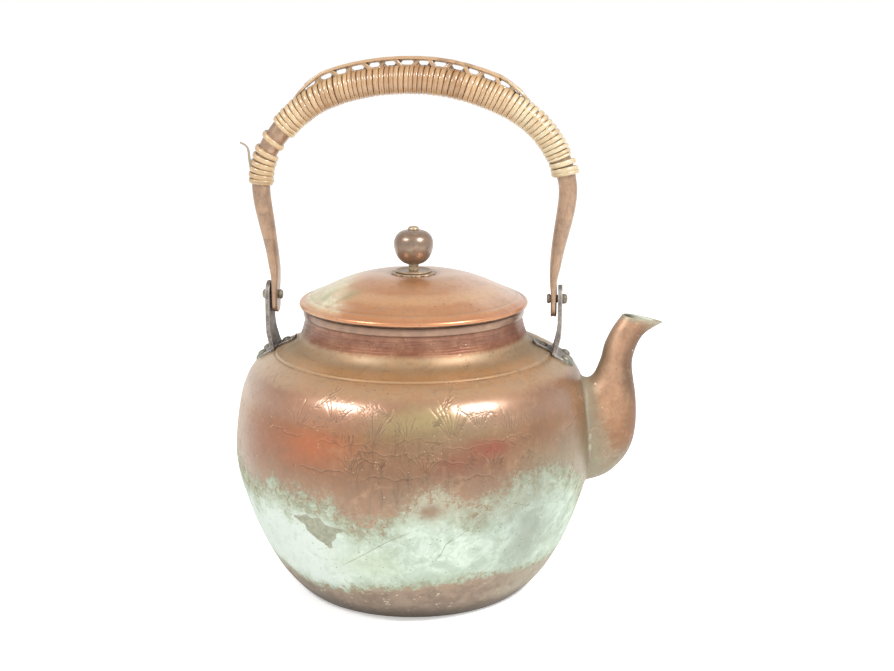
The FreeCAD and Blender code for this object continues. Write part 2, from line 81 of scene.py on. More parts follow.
WRAP_T, BIND_T = 1.55, 1.75
RUNNER = (11.45, 18.5)
LACE_H = 2.3
SPOUT = [
    ((76.0, 108.5), (76.0, 51.0), 16.6, 0.0), ((84.5, 107.0), (88.6, 53.6), 16.2, 0.0),
    ((88.2, 106.9), (98.6, 57.6), 15.2, 0.0), ((90.7, 109.4), (106.4, 65.8), 13.8, 0.0),
    ((92.2, 112.8), (110.9, 76.0), 12.2, 0.0), ((93.4, 116.2), (112.0, 88.5), 10.6, 0.0),
    ((94.3, 119.8), (111.0, 101.5), 9.2, 0.0), ((95.2, 123.9), (109.3, 113.5), 8.2, 0.0),
    ((97.0, 128.3), (110.9, 122.6), 7.5, 0.05), ((99.6, 133.2), (115.2, 130.0), 7.0, 0.25),
    ((103.6, 138.9), (123.9, 135.7), 6.6, 0.62)]
SPOUT_IN = [
    ((76.0, 107.0), (76.0, 53.0), 15.2, 0.0), ((84.9, 105.6), (88.1, 55.4), 14.9, 0.0),
    ((89.0, 105.7), (97.5, 59.4), 13.9, 0.0), ((91.9, 108.6), (105.1, 67.4), 12.5, 0.0),
    ((93.5, 112.3), (109.5, 77.0), 10.9, 0.0), ((94.7, 115.9), (110.7, 88.8), 9.3, 0.0),
    ((95.6, 119.5), (109.7, 101.2), 7.9, 0.0), ((96.5, 123.6), (107.9, 113.2), 6.9, 0.0),
    ((98.3, 127.9), (109.2, 122.4), 6.2, 0.05), ((100.9, 132.8), (112.8, 129.7), 5.7, 0.15),
    ((104.9, 138.8), (118.4, 136.4), 5.2, 0.45), ((107.0, 143.6), (122.5, 141.6), 5.2, 0.50)]
WHISKER = [(-79.6, -2.2, 208.5), (-80.6, -3.0, 215.4), (-81.9, -3.4, 221.2), (-84.9, -3.6, 222.9)]


# ---------------------------------------------------------------- numerics
def hashed(ix, iy, iz, seed):
    h = (ix * 374761393 + iy * 668265263 + iz * 2147483647 + seed * 974634777) & 0xFFFFFFFF
    h = ((h ^ (h >> 13)) * 1274126177) & 0xFFFFFFFF
    h = (h ^ (h >> 16)) & 0xFFFFFFFF
    return h / 2147483648.0 - 1.0


def vnoise(p, seed=0):
    """smooth lattice noise from -1 to 1 at points (..., 3)"""
    i = np.floor(p).astype(np.int64)
    f = p - i
    f = f * f * (3 - 2 * f)
    out = 0.0
    for dx in (0, 1):
        wx = f[..., 0] if dx else 1 - f[..., 0]
        for dy in (0, 1):
            wy = f[..., 1] if dy else 1 - f[..., 1]
            for dz in (0, 1):
                wz = f[..., 2] if dz else 1 - f[..., 2]
                out = out + wx * wy * wz * hashed(i[..., 0] + dx, i[..., 1] + dy, i[..., 2] + dz, seed)
    return out


def fbm(p, scale, octaves=3, seed=0):
    """noise whose largest features are about scale millimetres"""
    out, amp, tot = 0.0, 1.0, 0.0
    for k in range(octaves):
        out = out + amp * vnoise(p / scale * (2.0 ** k) + 17.3 * k, seed + k)
        tot += amp
        amp *= 0.5
    return out / tot


class Spline:
    """natural cubic through points, by chord length or by index"""

    def __init__(self, pts, by_index=False):
        self.p = np.array(pts, float)
        if by_index:
            self.t = np.arange(len(self.p), dtype=float)
        else:
            self.t = np.r_[0, np.cumsum(np.linalg.norm(np.diff(self.p, axis=0), axis=1))]
        n = len(self.t)
        h = np.diff(self.t)
        A = np.zeros((n, n))
        B = np.zeros_like(self.p)
        A[0, 0] = A[-1, -1] = 1
        for i in range(1, n - 1):
            A[i, i - 1], A[i, i], A[i, i + 1] = h[i - 1], 2 * (h[i - 1] + h[i]), h[i]
            B[i] = 6 * ((self.p[i + 1] - self.p[i]) / h[i] - (self.p[i] - self.p[i - 1]) / h[i - 1])
        self.m = np.linalg.solve(A, B)
        self.h = h
        self.end = self.t[-1]

    def __call__(self, u, d=0):
        u = np.asarray(u, float)
        k = np.clip(np.searchsorted(self.t, u, side="right") - 1, 0, len(self.h) - 1)
        h = self.h[k][..., None]
        a = (self.t[k + 1] - u)[..., None]
        b = (u - self.t[k])[..., None]
        m0, m1, p0, p1 = self.m[k], self.m[k + 1], self.p[k], self.p[k + 1]
        if d == 0:
            return m0 * a ** 3 / (6 * h) + m1 * b ** 3 / (6 * h) + (p0 / h - m0 * h / 6) * a + (p1 / h - m1 * h / 6) * b
        return -m0 * a ** 2 / (2 * h) + m1 * b ** 2 / (2 * h) + (p1 - p0) / h - (m1 - m0) * h / 6


def unit(v):
    return v / np.maximum(np.linalg.norm(v, axis=-1, keepdims=True), 1e-12)


def smooth(x, a, b):
    t = np.clip((x - a) / (b - a), 0, 1)
    return t * t * (3 - 2 * t)


def bump(x, c, w):
    return np.exp(-((x - c) / w) ** 2)


# ----------------------------------------------------------- mesh builders
class Bag:
    """collects vertices and quads of one piece, with float attributes"""

    def __init__(self):
        self.v, self.f, self.a, self.n = [], [], {}, 0

    def add(self, P, faces, **attrs):
        P = np.asarray(P, float).reshape(-1, 3)
        self.v.append(P)
        self.f.append(np.asarray(faces, np.int64) + self.n)
        for k in set(self.a) | set(attrs):
            got = attrs.get(k)
            arr = np.zeros(len(P)) if got is None else np.broadcast_to(np.asarray(got, float).reshape(-1), (len(P),))
            if k not in self.a:
                self.a[k] = [np.zeros(self.n)] if self.n else []
            self.a[k].append(arr)
        self.n += len(P)
        return self

    def grid(self, P, wrap_u=False, wrap_v=False, flip=False, **attrs):
        """P[u, v] points; wrap_v joins the last column to the first"""
        nu, nv = P.shape[:2]
        idx = np.arange(nu * nv).reshape(nu, nv)
        if wrap_v:
            idx = np.concatenate([idx, idx[:, :1]], 1)
        if wrap_u:
            idx = np.concatenate([idx, idx[:1]], 0)
        q = np.stack([idx[:-1, :-1], idx[:-1, 1:], idx[1:, 1:], idx[1:, :-1]], -1).reshape(-1, 4)
        if flip:
            q = q[:, ::-1]
        at = {k: np.broadcast_to(v, (nu, nv)) for k, v in attrs.items()}
        return self.add(P, q, **at)

    def fan(self, centre, ring, flip=False, **attrs):
        """closes a ring of points with triangles to a centre point (stored as quads with a repeat)"""
        n = len(ring)
        P = np.concatenate([ring, [centre]], 0)
        i = np.arange(n)
        q = np.stack([i, (i + 1) % n, np.full(n, n), np.full(n, n)], -1)
        if flip:
            q = q[:, [1, 0, 2, 3]]
        return self.add(P, q, **attrs)

    def make(self, name, body, mat, replaces=(), weld=True, sharp=None):
        P = np.concatenate(self.v) * MM
        F = np.concatenate(self.f)
        tri = F[:, 2] == F[:, 3]
        me = bpy.data.meshes.new(name)
        counts = np.where(tri, 3, 4)
        loops = F.ravel()[np.stack([np.ones_like(tri), np.ones_like(tri), np.ones_like(tri), ~tri], -1).ravel()]
        me.vertices.add(len(P))
        me.vertices.foreach_set("co", P.astype(np.float32).ravel())
        me.loops.add(len(loops))
        me.loops.foreach_set("vertex_index", loops.astype(np.int32))
        me.polygons.add(len(F))
        me.polygons.foreach_set("loop_start", np.r_[0, np.cumsum(counts)[:-1]].astype(np.int32))
        me.polygons.foreach_set("use_smooth", np.ones(len(F), bool))
        for k, parts in self.a.items():
            at = me.attributes.new(k, "FLOAT", "POINT")
            at.data.foreach_set("value", np.concatenate(parts).astype(np.float32))
        me.update(calc_edges=True)
        me.validate()
        if weld:
            bm = bmesh.new()
            bm.from_mesh(me)
            bmesh.ops.remove_doubles(bm, verts=bm.verts, dist=1e-6)
            bmesh.ops.recalc_face_normals(bm, faces=bm.faces)
            bm.to_mesh(me)
            bm.free()
        if sharp is not None:
            me.set_sharp_from_angle(angle=sharp * D2R)
        o = bpy.data.objects.new(name, me)
        scene.collection.objects.link(o)
        me.materials.append(mat)
        if replaces:
            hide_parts(*replaces)
        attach(o, body)
        return o


def rev(profile, phi):
    """surface of revolution: profile (n, 2) radius/height, phi in radians measured from the front (-Y) towards +X"""
    r, z = profile[:, 0][:, None], profile[:, 1][:, None]
    return np.stack([r * np.sin(phi)[None], -r * np.cos(phi)[None], z + 0 * phi[None]], -1)


def resample(poly, step):
    """points along a polyline at an even spacing near step"""
    poly = np.asarray(poly, float)
    s = np.r_[0, np.cumsum(np.linalg.norm(np.diff(poly, axis=0), axis=1))]
    n = max(2, int(round(s[-1] / step)) + 1)
    u = np.linspace(0, s[-1], n)
    return np.stack([np.interp(u, s, poly[:, k]) for k in range(poly.shape[1])], -1)


def rounded(poly, r, closed=True, n=5):
    """polyline with its corners rounded to radius r"""
    poly = [np.array(p, float) for p in poly]
    out = []
    m = len(poly)
    for i, p in enumerate(poly):
        if not closed and i in (0, m - 1):
            out.append(p)
            continue
        a, b = poly[i - 1], poly[(i + 1) % m]
        da, db = a - p, b - p
        la, lb = np.linalg.norm(da), np.linalg.norm(db)
        k = min(r, 0.45 * la, 0.45 * lb)
        pa, pb = p + da / la * k, p + db / lb * k
        for t in np.linspace(0, 1, n):
            out.append((1 - t) ** 2 * pa + 2 * t * (1 - t) * p + t * t * pb)
    return np.array(out)


def even_phi(n):
    return np.arange(n) * 2 * math.pi / n


BS = Spline(BODY_OUT)


def body_r(z):
    """outer radius of the body at a height"""
    u = np.linspace(0, BS.end, 1200)
    p = BS(u)
    return np.interp(z, p[:, 1], p[:, 0])


# ------------------------------------------------------------ body geometry
def column_angles(dense_from, dense_to, d_step, step):
    """angles in degrees, closer together between two angles"""
    a = np.arange(dense_from, dense_to, d_step)
    n = int(round((360 - (dense_to - dense_from)) / step))
    b = np.linspace(dense_to, dense_from + 360, n, endpoint=False)
    return np.concatenate([a, b])


def dist_polyline(P, line):
    """distance of 2-D points (n, 2) to a polyline, and the place along it from 0 to 1"""
    line = np.asarray(line, float)
    best = np.full(len(P), 1e9)
    where = np.zeros(len(P))
    seg = np.linalg.norm(np.diff(line, axis=0), axis=1)
    s = np.r_[0, np.cumsum(seg)]
    for i in range(len(line) - 1):
        a, b = line[i], line[i + 1]
        d = b - a
        t = np.clip(((P - a) @ d) / max(d @ d, 1e-9), 0, 1)
        q = np.hypot(*(P - a - t[:, None] * d).T)
        near = q < best
        best = np.where(near, q, best)
        where = np.where(near, (s[i] + t * seg[i]) / s[-1], where)
    return best, where


def arc(x, y, heading, bend, length, n=9):
    """a stroke that starts at (x, y), with heading and total bend in degrees"""
    out = [(x, y)]
    h = heading
    for k in range(n):
        h += bend / n
        x += math.cos(h * D2R) * length / n
        y += math.sin(h * D2R) * length / n
        out.append((x, y))
    return out


# Engraved decoration of the maker of this file's own: tufts of grass, low wavy ground lines and a few leaf sprays, in
# millimetres round the belly (x, from the front towards the spout) and height.
rng = np.random.RandomState(7)
STROKES = []                          # (points, width, depth)
for cx, base, n, size in [(-50, 99, 6, 13), (-29, 104, 8, 12), (-10, 97, 7, 15), (6, 100, 5, 10), (27, 99, 9, 16), (40, 103, 6, 11), (56, 97, 7, 13),
                          (-20, 84, 6, 9), (14, 84, 6, 9), (46, 84, 5, 9), (120, 96, 8, 14), (160, 100, 7, 12), (205, 97, 8, 15), (-120, 98, 8, 14), (-165, 101, 6, 12)]:
    for k in range(n):
        f = (k - (n - 1) / 2.0) / n
        STROKES.append((arc(cx + f * 5.0, base + rng.uniform(-0.6, 0.6), 90 - f * 50, -f * 95 + rng.uniform(-14, 14), size * rng.uniform(0.6, 1.05)), 0.28, 0.12))
for cx, y, ln in [(-58, 96, 24), (-40, 101, 22), (-24, 95, 30), (-6, 92, 26), (12, 98, 34), (34, 94, 26), (52, 96, 22), (-34, 82, 26), (0, 81, 30), (36, 80, 26),
                  (-14, 88, 16), (24, 88, 18), (112, 95, 40), (150, 97, 40), (200, 95, 44), (-125, 97, 42), (-170, 99, 36)]:
    xs = np.linspace(-ln / 2, ln / 2, 15)
    ph = rng.uniform(0, 6)
    STROKES.append(([(cx + x, y + 0.9 * math.sin(x * 0.33 + ph) + 0.5 * math.sin(x * 0.9 + ph) - 0.006 * x * x) for x in xs], 0.27, 0.10))
for cx, y, head in [(-44, 108, 20), (-2, 108, 150), (20, 109, 25), (50, 107, 160), (8, 90, 10), (-8, 76, 60)]:
    stem = arc(cx, y, head, 40, 15, 12)
    STROKES.append((stem, 0.24, 0.10))
    for k in range(2, 12, 2):
        x, yy = stem[k]
        for sgn in (1, -1):
            STROKES.append((arc(x, yy, head + 40 * k / 12 + sgn * 48, -sgn * 45, 3.6, 5), 0.2, 0.085))
# short loose hatching between the tufts, as for rough ground
for k in range(38):
    cx, y, head, n = rng.uniform(-38, 74), rng.uniform(77, 112), rng.uniform(0, 180), rng.randint(3, 7)
    bend, ln = rng.uniform(-60, 60), rng.uniform(2.6, 6.5)
    for q in range(n):
        off = (q - (n - 1) / 2.0) * rng.uniform(0.9, 1.3)
        STROKES.append((arc(cx - math.sin(head * D2R) * off, y + math.cos(head * D2R) * off * 0.8, head + rng.uniform(-9, 9), bend, ln * rng.uniform(0.6, 1.1), 6), 0.25, 0.08))
SCRATCHES = [([(-29, 33), (-16, 41), (-4, 49), (7, 54.5)], 0.28, 0.07), ([(19, 38), (22, 42), (24, 47), (29, 52)], 0.28, 0.07), ([(24, 47), (34, 54), (42, 52)], 0.22, 0.05),
             ([(-52, 61), (-30, 64), (-12, 62)], 0.2, 0.04), ([(52, 66), (70, 60)], 0.22, 0.05), ([(62, 92), (78, 78)], 0.22, 0.05), ([(-78, 96), (-62, 104)], 0.25, 0.05)]
CHIP = [(-33.5, 55.5), (-30.5, 56.4), (-28.6, 57.6), (-26.6, 56.2), (-24.2, 57.4), (-23.2, 54.6), (-20.6, 53.6), (-16.6, 53.2), (-19.6, 51.0),
        (-19.8, 48.4), (-21.4, 46.4), (-22.2, 42.6), (-24.2, 44.6), (-26.4, 46.4), (-29.2, 49.6), (-29.6, 53.0)]
VERD_TOP = [(-180, 63), (-150, 70), (-120, 66), (-100, 70), (-84, 76), (-72, 74), (-62, 71), (-54, 68), (-48, 70), (-41, 74), (-36, 69), (-30, 69), (-24, 67), (-20, 70), (-16, 62),
            (-11, 59), (-7, 60), (-3, 61), (1, 63), (4, 69), (8, 75), (12, 77), (16, 74), (20, 69), (26, 69), (31, 72), (37, 77), (43, 80), (50, 80), (57, 76), (64, 73),
            (70, 66), (78, 56), (90, 52), (105, 60), (130, 66), (155, 60), (180, 63)]
VERD_LOW = [(-180, 19), (-120, 20), (-80, 20), (-60, 19), (-48, 17), (-38, 15), (-28, 14.5), (-20, 16), (-12, 18.5), (-4, 20.5), (6, 22), (16, 23.5), (30, 24), (45, 23),
            (60, 21), (75, 20), (100, 19), (140, 21), (180, 19)]


def polygon_sd(P, poly):
    """signed distance to a closed polygon, positive inside"""
    poly = np.asarray(poly, float)
    d, _ = dist_polyline(P, np.concatenate([poly, poly[:1]]))
    inside = np.zeros(len(P), bool)
    for i in range(len(poly)):
        a, b = poly[i - 1], poly[i]
        hit = ((a[1] > P[:, 1]) != (b[1] > P[:, 1]))
        x = (b[0] - a[0]) * (P[:, 1] - a[1]) / (b[1] - a[1] + 1e-12) + a[0]
        inside ^= hit & (P[:, 0] < x)
    return np.where(inside, d, -d)


def build_body(mat):
    # rows: places along the outer profile, closer together where there is fine work
    zz = np.concatenate([np.linspace(0, 6, 9)[:-1], np.linspace(6, 28, 23)[:-1], np.linspace(28, 66, 82)[:-1], np.linspace(66, 76, 13)[:-1],
                         np.linspace(76, 112, 96)[:-1]])
    u = np.linspace(0, BS.end, 6000)
    prof = BS(u)
    k112 = np.interp(112.0, prof[:, 1], u)
    uu = np.concatenate([np.interp(zz, prof[:, 1], u), np.linspace(k112, BS.end, 118)])
    phi_deg = column_angles(-46.0, 52.0, 0.33, 1.25)
    phi = phi_deg * D2R
    pts = BS(uu)
    tan = unit(BS(uu, 1))
    nrm = np.stack([tan[:, 1], -tan[:, 0]], -1)
    Z = pts[:, 1][:, None] + 0 * phi[None]
    R0 = pts[:, 0][:, None]
    base = rev(pts, phi)
    s_from_ring = uu - np.interp(120.2, prof[:, 1], u)          # distance along the profile from the step
    a_mm = np.degrees(phi)[None] * 0 + (((phi_deg + 180) % 360) - 180)[None] * D2R * 88.0 + 0 * Z
    deg = (((phi_deg + 180) % 360) - 180)[None] + 0 * Z
    # beaded step on the shoulder
    wob = 0.10 * fbm(base * np.array([1, 1, 0.2]), 22.0, 2, 5)
    S = s_from_ring[:, None] + wob
    disp = 0.26 * bump(S, 0.3, 0.7) - 0.16 * bump(S, -0.9, 0.5)
    # the neck's chased lines
    z_w = Z + 0.28 * fbm(base * np.array([1, 1, 0.15]), 9.0, 2, 11)
    line_w = fbm(base, 4.0, 2, 21)
    chased = np.zeros_like(Z)
    for k, zc in enumerate([128.3, 129.7, 131.0, 132.3, 133.5, 134.7, 135.9]):
        zc2 = zc + 0.25 * np.sin(deg * D2R * (5 + k % 3) + k) + 0.12 * np.sin(deg * D2R * (17 + 2 * k) + 2 * k)
        chased += bump(z_w, zc2, 0.26) * np.clip(0.75 + 0.6 * line_w, 0.25, 1.2)
    disp = disp - 0.15 * chased * smooth(Z, 128.2, 130.5)
    # hand raising: long soft unevenness and light planishing
    big = fbm(base, 30.0, 2, 31)
    fine = fbm(base, 7.0, 2, 41)
    live = smooth(Z, 4.0, 16.0) * (1 - smooth(Z, 134, 138))
    disp = disp + live * (0.16 * big + 0.035 * fine)
    # corrosion crust stands slightly proud
    top = np.interp(deg, *np.array(VERD_TOP).T) + 0 * Z
    low = np.interp(deg, *np.array(VERD_LOW).T) + 0 * Z
    m_top = top - Z
    m_low = Z - low
    crust = smooth(m_top + 3.0 * fbm(base, 9.0, 3, 51), -1, 4) * smooth(m_low + 2.0 * fbm(base, 9.0, 2, 52), -1, 3)
    disp = disp + 0.07 * crust * (0.8 + 0.7 * fbm(base, 3.0, 3, 61))
    flat = np.stack([a_mm.ravel(), Z.ravel()], -1)
    chip = polygon_sd(flat * np.array([1 / 88.0 / D2R, 1.0]), CHIP).reshape(Z.shape)
    disp = disp - 0.10 * smooth(chip, -0.4, 0.5)
    # engraved strokes
    engr = np.zeros(Z.size)
    cut = np.zeros(Z.size)
    for pts2, w, d in STROKES + SCRATCHES:
        L = np.array(pts2)
        lo, hi = L.min(0) - 1.5, L.max(0) + 1.5
        near = np.where((flat[:, 0] > lo[0]) & (flat[:, 0] < hi[0]) & (flat[:, 1] > lo[1]) & (flat[:, 1] < hi[1]))[0]
        if not len(near):
            continue
        q, t = dist_polyline(flat[near], L)
        ww = w * (0.45 + 0.75 * np.sin(np.clip(t, 0.02, 0.98) * math.pi) ** 0.5)
        g = np.exp(-(q / ww) ** 2)
        engr[near] = np.maximum(engr[near], g)
        cut[near] = np.maximum(cut[near], g * d)
    disp = disp - cut.reshape(Z.shape)
    N3 = rev(np.stack([nrm[:, 0], nrm[:, 1]], -1), phi)
    outer = base + N3 * disp[..., None]
    # rim edge and inside
    keep = np.linspace(0, len(uu) - 1, 70).astype(int)[::-1]
    inner = rev(pts[keep] - nrm[keep] * WALL, phi)
    inner[0, :, 2] = 138.0
    inner[-1, :, 2] = 0.75
    inner[-1] = rev(np.array([[56.75, 0.7]]), phi)[0]
    outer[-1] = rev(np.array([[54.25, 138.0]]), phi)[0]
    low_edge = rev(np.array([[56.75, 0.0]]), phi)
    first = outer[0:1].copy()
    outer[0] = rev(np.array([[58.1, 0.0]]), phi)[0]
    all_rows = np.concatenate([low_edge, outer, inner], 0)
    nr = len(outer)

    def at(x, fill=0.0):
        return np.concatenate([np.full((1, len(phi)), fill), x, np.full((len(inner), len(phi)), fill)], 0)

    b = Bag()
    b.grid(all_rows, wrap_u=True, wrap_v=True, m_top=at(m_top, -50), m_low=at(m_low, -50), m_chip=at(chip, -9),
           m_engr=at(engr.reshape(Z.shape)), m_chase=at(chased * smooth(Z, 127.0, 128.2)), m_deg=at(deg), m_in=at(np.zeros_like(Z), 1.0),
           m_step=at(np.where(np.abs(S) < 4, S, 4.0), 4.0))
    return b.make("body_copper", "kettle", mat, replaces=["body_shell"], sharp=55)


def strainer(body_o):
    """the strainer holes through the wall behind the spout"""
    bm = bmesh.new()
    for j in range(7):
        zz = 80.5 + (j - 3) * 6.8 * 0.866
        for i in range(-2, 3):
            yy = (i + (0.5 if j % 2 else 0.0)) * 6.8
            if (yy / 12.0) ** 2 + ((zz - 80.5) / 22.0) ** 2 <= 1.0:
                m = Matrix.Translation((0.0875, yy * MM, zz * MM)) @ Matrix.Rotation(math.pi / 2, 4, "Y")
                bmesh.ops.create_cone(bm, cap_ends=True, segments=24, radius1=0.002, radius2=0.002, depth=0.012, matrix=m)
    me = bpy.data.meshes.new("strainer_cut")
    bm.to_mesh(me)
    bm.free()
    cut = bpy.data.objects.new("strainer_cut", me)
    scene.collection.objects.link(cut)
    boolean(body_o, cut)


def boolean(o, cutter, solver="EXACT", op="DIFFERENCE"):
    m = o.modifiers.new("cut", "BOOLEAN")
    m.operation, m.object, m.solver = op, cutter, solver
    dg = bpy.context.evaluated_depsgraph_get()
    me = bpy.data.meshes.new_from_object(o.evaluated_get(dg), preserve_all_data_layers=True, depsgraph=dg)
    o.modifiers.remove(m)
    old = o.data
    o.data = me
    me.name = o.name
    bpy.data.meshes.remove(old)
    bpy.data.objects.remove(cutter)


# ------------------------------------------------------- rings, lid and knob
def spin(name, poly, body, mat, replaces=(), n=320, step=0.35, corner=0.25, hole=False, wobble=0.0, extra=None, sharp=None, seed=0):
    """closed profile polygon (radius, height) turned round the axis; profile points with radius 0 become a pole"""
    poly = np.asarray(poly, float)
    phi = even_phi(n)
    b = Bag()
    pts = poly
    if pts[0, 0] < 1e-6 and pts[-1, 0] < 1e-6:       # open line from pole to pole
        mid = pts[1:-1]
        P = rev(mid, phi)
        if wobble:
            P = P + unit(P * np.array([1, 1, 0])) * (wobble * fbm(P, 14.0, 2, seed))[..., None]
        if extra is not None:
            P = extra(P)
        b.grid(P, wrap_v=True)
        b.fan(np.array([0, 0, pts[0, 1]]), P[0])
        b.fan(np.array([0, 0, pts[-1, 1]]), P[-1], flip=True)
    else:
        P = rev(pts, phi)
        if wobble:
            P = P + unit(P * np.array([1, 1, 0])) * (wobble * fbm(P, 14.0, 2, seed))[..., None]
        if extra is not None:
            P = extra(P)
        b.grid(P, wrap_u=True, wrap_v=True)
    return b.make(name, body, mat, replaces=replaces, sharp=sharp)


def ring_band(mat):
    poly = rounded([(54.25, 138.0), (54.95, 138.35), (55.15, 139.4), (55.15, 141.2), (54.75, 142.25), (53.8, 142.6), (52.9, 142.6), (52.3, 142.1), (52.3, 138.5), (53.1, 138.0)], 0.45)
    return spin("mouth_ring", poly, "kettle", mat, ["neck_rim_ring"], n=360, wobble=0.05, sharp=60, seed=3)


def lid_shape():
    LS = Spline(LID_PROFILE)
    u = np.concatenate([np.linspace(0, LS.end * 0.72, 60)[:-1], np.linspace(LS.end * 0.72, LS.end, 66)])
    p = LS(u)
    t = unit(LS(u, 1))
    nn = np.stack([-t[:, 1], t[:, 0]], -1)
    r = p[:, 0]
    d = -0.14 * bump(r, 51.4, 0.8) + 0.16 * bump(r, 52.6, 0.7) - 0.06 * bump(r, 45.6, 0.4) + 0.05 * bump(r, 44.8, 0.5)
    top = p + nn * d[:, None]
    return p, nn, top


def lid_top(mat):
    p, nn, top = lid_shape()
    under = (p - nn * WALL)[::-1]
    cx, cz, cr = 55.5, 144.1, 1.5
    ang = np.linspace(math.radians(108), math.radians(-152), 26)
    bead = np.stack([cx + cr * np.cos(ang), cz + cr * np.sin(ang)], -1)
    top = top[top[:, 0] < 54.85]
    under = under[under[:, 0] < 53.9]
    flat_t = np.stack([np.linspace(2.0, 12.4, 9), np.full(9, LID_TOP)], -1)
    flat_u = np.stack([np.linspace(12.4, 2.0, 9), np.full(9, LID_TOP - WALL)], -1)
    prof = np.concatenate([flat_t, top, bead, under, flat_u])
    phi = even_phi(400)
    P = rev(prof, phi)
    r = np.hypot(P[..., 0], P[..., 1])
    soft = smooth(r, 13, 24) * (1 - smooth(r, 50, 54))
    P[..., 2] += soft * (0.16 * fbm(P * np.array([1, 1, 0]), 24.0, 2, 71) + 0.03 * fbm(P * np.array([1, 1, 0]), 6.0, 2, 72))
    edge = smooth(r, 53, 55)
    P[..., 2] += edge * 0.05 * fbm(P * np.array([1, 1, 0]), 16.0, 2, 73)
    b = Bag()
    b.grid(P, wrap_u=True, wrap_v=True)
    return b.make("lid_copper", "lid", mat, replaces=["lid_shell"], sharp=60)


def rosette(mat):
    """flower-shaped plate with a dished washer on it"""
    phi = even_phi(288)
    b = Bag()
    lob = np.abs(np.sin(6 * phi + math.pi / 2 * 0))
    R = 10.3 + 1.1 * lob ** 0.6
    rows = []
    for f, z in [(0.0, 158.5), (0.35, 158.5), (0.72, 158.5), (0.9, 158.5), (0.985, 158.5), (1.0, 158.62), (0.995, 158.9), (0.975, 159.08), (0.93, 159.16), (0.85, 159.18), (0.72, 159.2), (0.35, 159.2), (0.0, 159.2)]:
        r = 2.05 + (R - 2.05) * f
        groove = 0.10 * bump((phi * 6 / math.pi) % 1.0, 0.0, 0.09) + 0.10 * bump((phi * 6 / math.pi) % 1.0, 1.0, 0.09)
        zz = z - (groove * smooth(np.array(f), 0.55, 0.9) if z > 159.0 else 0)
        rows.append(np.stack([r * np.sin(phi), -r * np.cos(phi), zz + 0 * phi], -1))
    b.grid(np.array(rows), wrap_u=True, wrap_v=True)
    w = rounded([(2.05, 159.2), (8.6, 159.2), (9.15, 159.5), (9.15, 159.95), (8.7, 160.24), (8.25, 160.2), (7.6, 159.85), (6.2, 159.62), (4.4, 159.55), (3.2, 159.6), (2.05, 159.6)], 0.22)
    b.grid(rev(w, phi), wrap_u=True, wrap_v=True)
    return b.make("knob_rosette", "lid", mat, replaces=["lid_rosette"], sharp=50)


def stem(mat):
    prof = [(0, 154.9), (0.9, 154.93), (1.8, 155.05), (2.6, 155.35), (3.15, 155.75), (3.4, 156.15), (3.35, 156.2), (2.0, 156.2), (2.0, 159.4), (2.02, 159.62), (2.45, 159.8), (2.62, 160.3), (2.5, 161.3),
            (2.45, 162.3), (2.6, 162.9), (2.55, 163.13), (2.0, 163.15), (2.0, 180.24), (2.62, 180.25), (2.72, 180.55), (2.66, 180.95), (2.45, 181.35), (2.05, 181.72), (1.5, 181.95), (0.8, 182.06), (0, 182.1)]
    return spin("knob_pin", prof, "lid", mat, ["knob_stem"], n=72, sharp=50)


def knob(mat):
    KS = Spline(KNOB_PROFILE)
    u = np.linspace(0, KS.end, 70)
    out = KS(u)
    prof = np.concatenate([[(2.06, 163.2), (2.6, 163.2)], out, [(2.6, 180.2), (2.06, 180.2)]])
    def dents(P):
        N = unit(P - np.array([0, 0, 171.5]))
        r = np.hypot(P[..., 0], P[..., 1])
        return P + N * (0.10 * fbm(P, 7.0, 2, 81) * smooth(r, 3.2, 6))[..., None]
    return spin("knob_ball", prof, "knob", mat, ["lid_knob"], n=144, extra=dents, sharp=50)


# ------------------------------------------------------------------- spout
def spout_lines(stations, n_along=400, n_round=112):
    """points of a spout surface: [along, round]"""
    sb = Spline([b for b, f, w, k in stations], by_index=True)
    sf = Spline([f for b, f, w, k in stations], by_index=True)
    sw = Spline([(w, k) for b, f, w, k in stations], by_index=True)
    u = np.linspace(0, len(stations) - 1, n_along)
    B, F, WK = sb(u), sf(u), sw(u)
    t = np.arange(n_round) * 2 * math.pi / n_round
    c = (B + F) / 2
    e = (F - B) / 2
    k = 1 - np.maximum(WK[:, 1], 0)[:, None] * ((1 + np.cos(t)) / 2)[None] ** 1.2
    X = c[:, 0][:, None] + e[:, 0][:, None] * np.cos(t)[None]
    Zc = c[:, 1][:, None] + e[:, 1][:, None] * np.cos(t)[None]
    Y = WK[:, 0][:, None] * np.sin(t)[None] * k
    return np.stack([X, Y, Zc], -1), u


def root_of(P, inset):
    """for each line round the spout, where it crosses the body's outer surface moved inwards by inset"""
    r = np.hypot(P[..., 0], P[..., 1])
    f = r - (body_r(P[..., 2]) - inset)
    out = np.zeros(P.shape[1])
    for j in range(P.shape[1]):
        neg = np.where(f[:, j] < 0)[0]
        i = neg[-1] if len(neg) else 0
        i = min(i, len(f) - 2)
        a, b = f[i, j], f[i + 1, j]
        out[j] = i + (0 if b == a else np.clip(-a / (b - a), 0, 1))
    return out


def along(P, s):
    """points of P[:, j] at fractional rows s[k, j]"""
    i = np.clip(np.floor(s).astype(int), 0, len(P) - 2)
    f = (s - i)[..., None]
    j = np.arange(P.shape[1])[None] + 0 * i
    return P[i, j] * (1 - f) + P[i + 1, j] * f


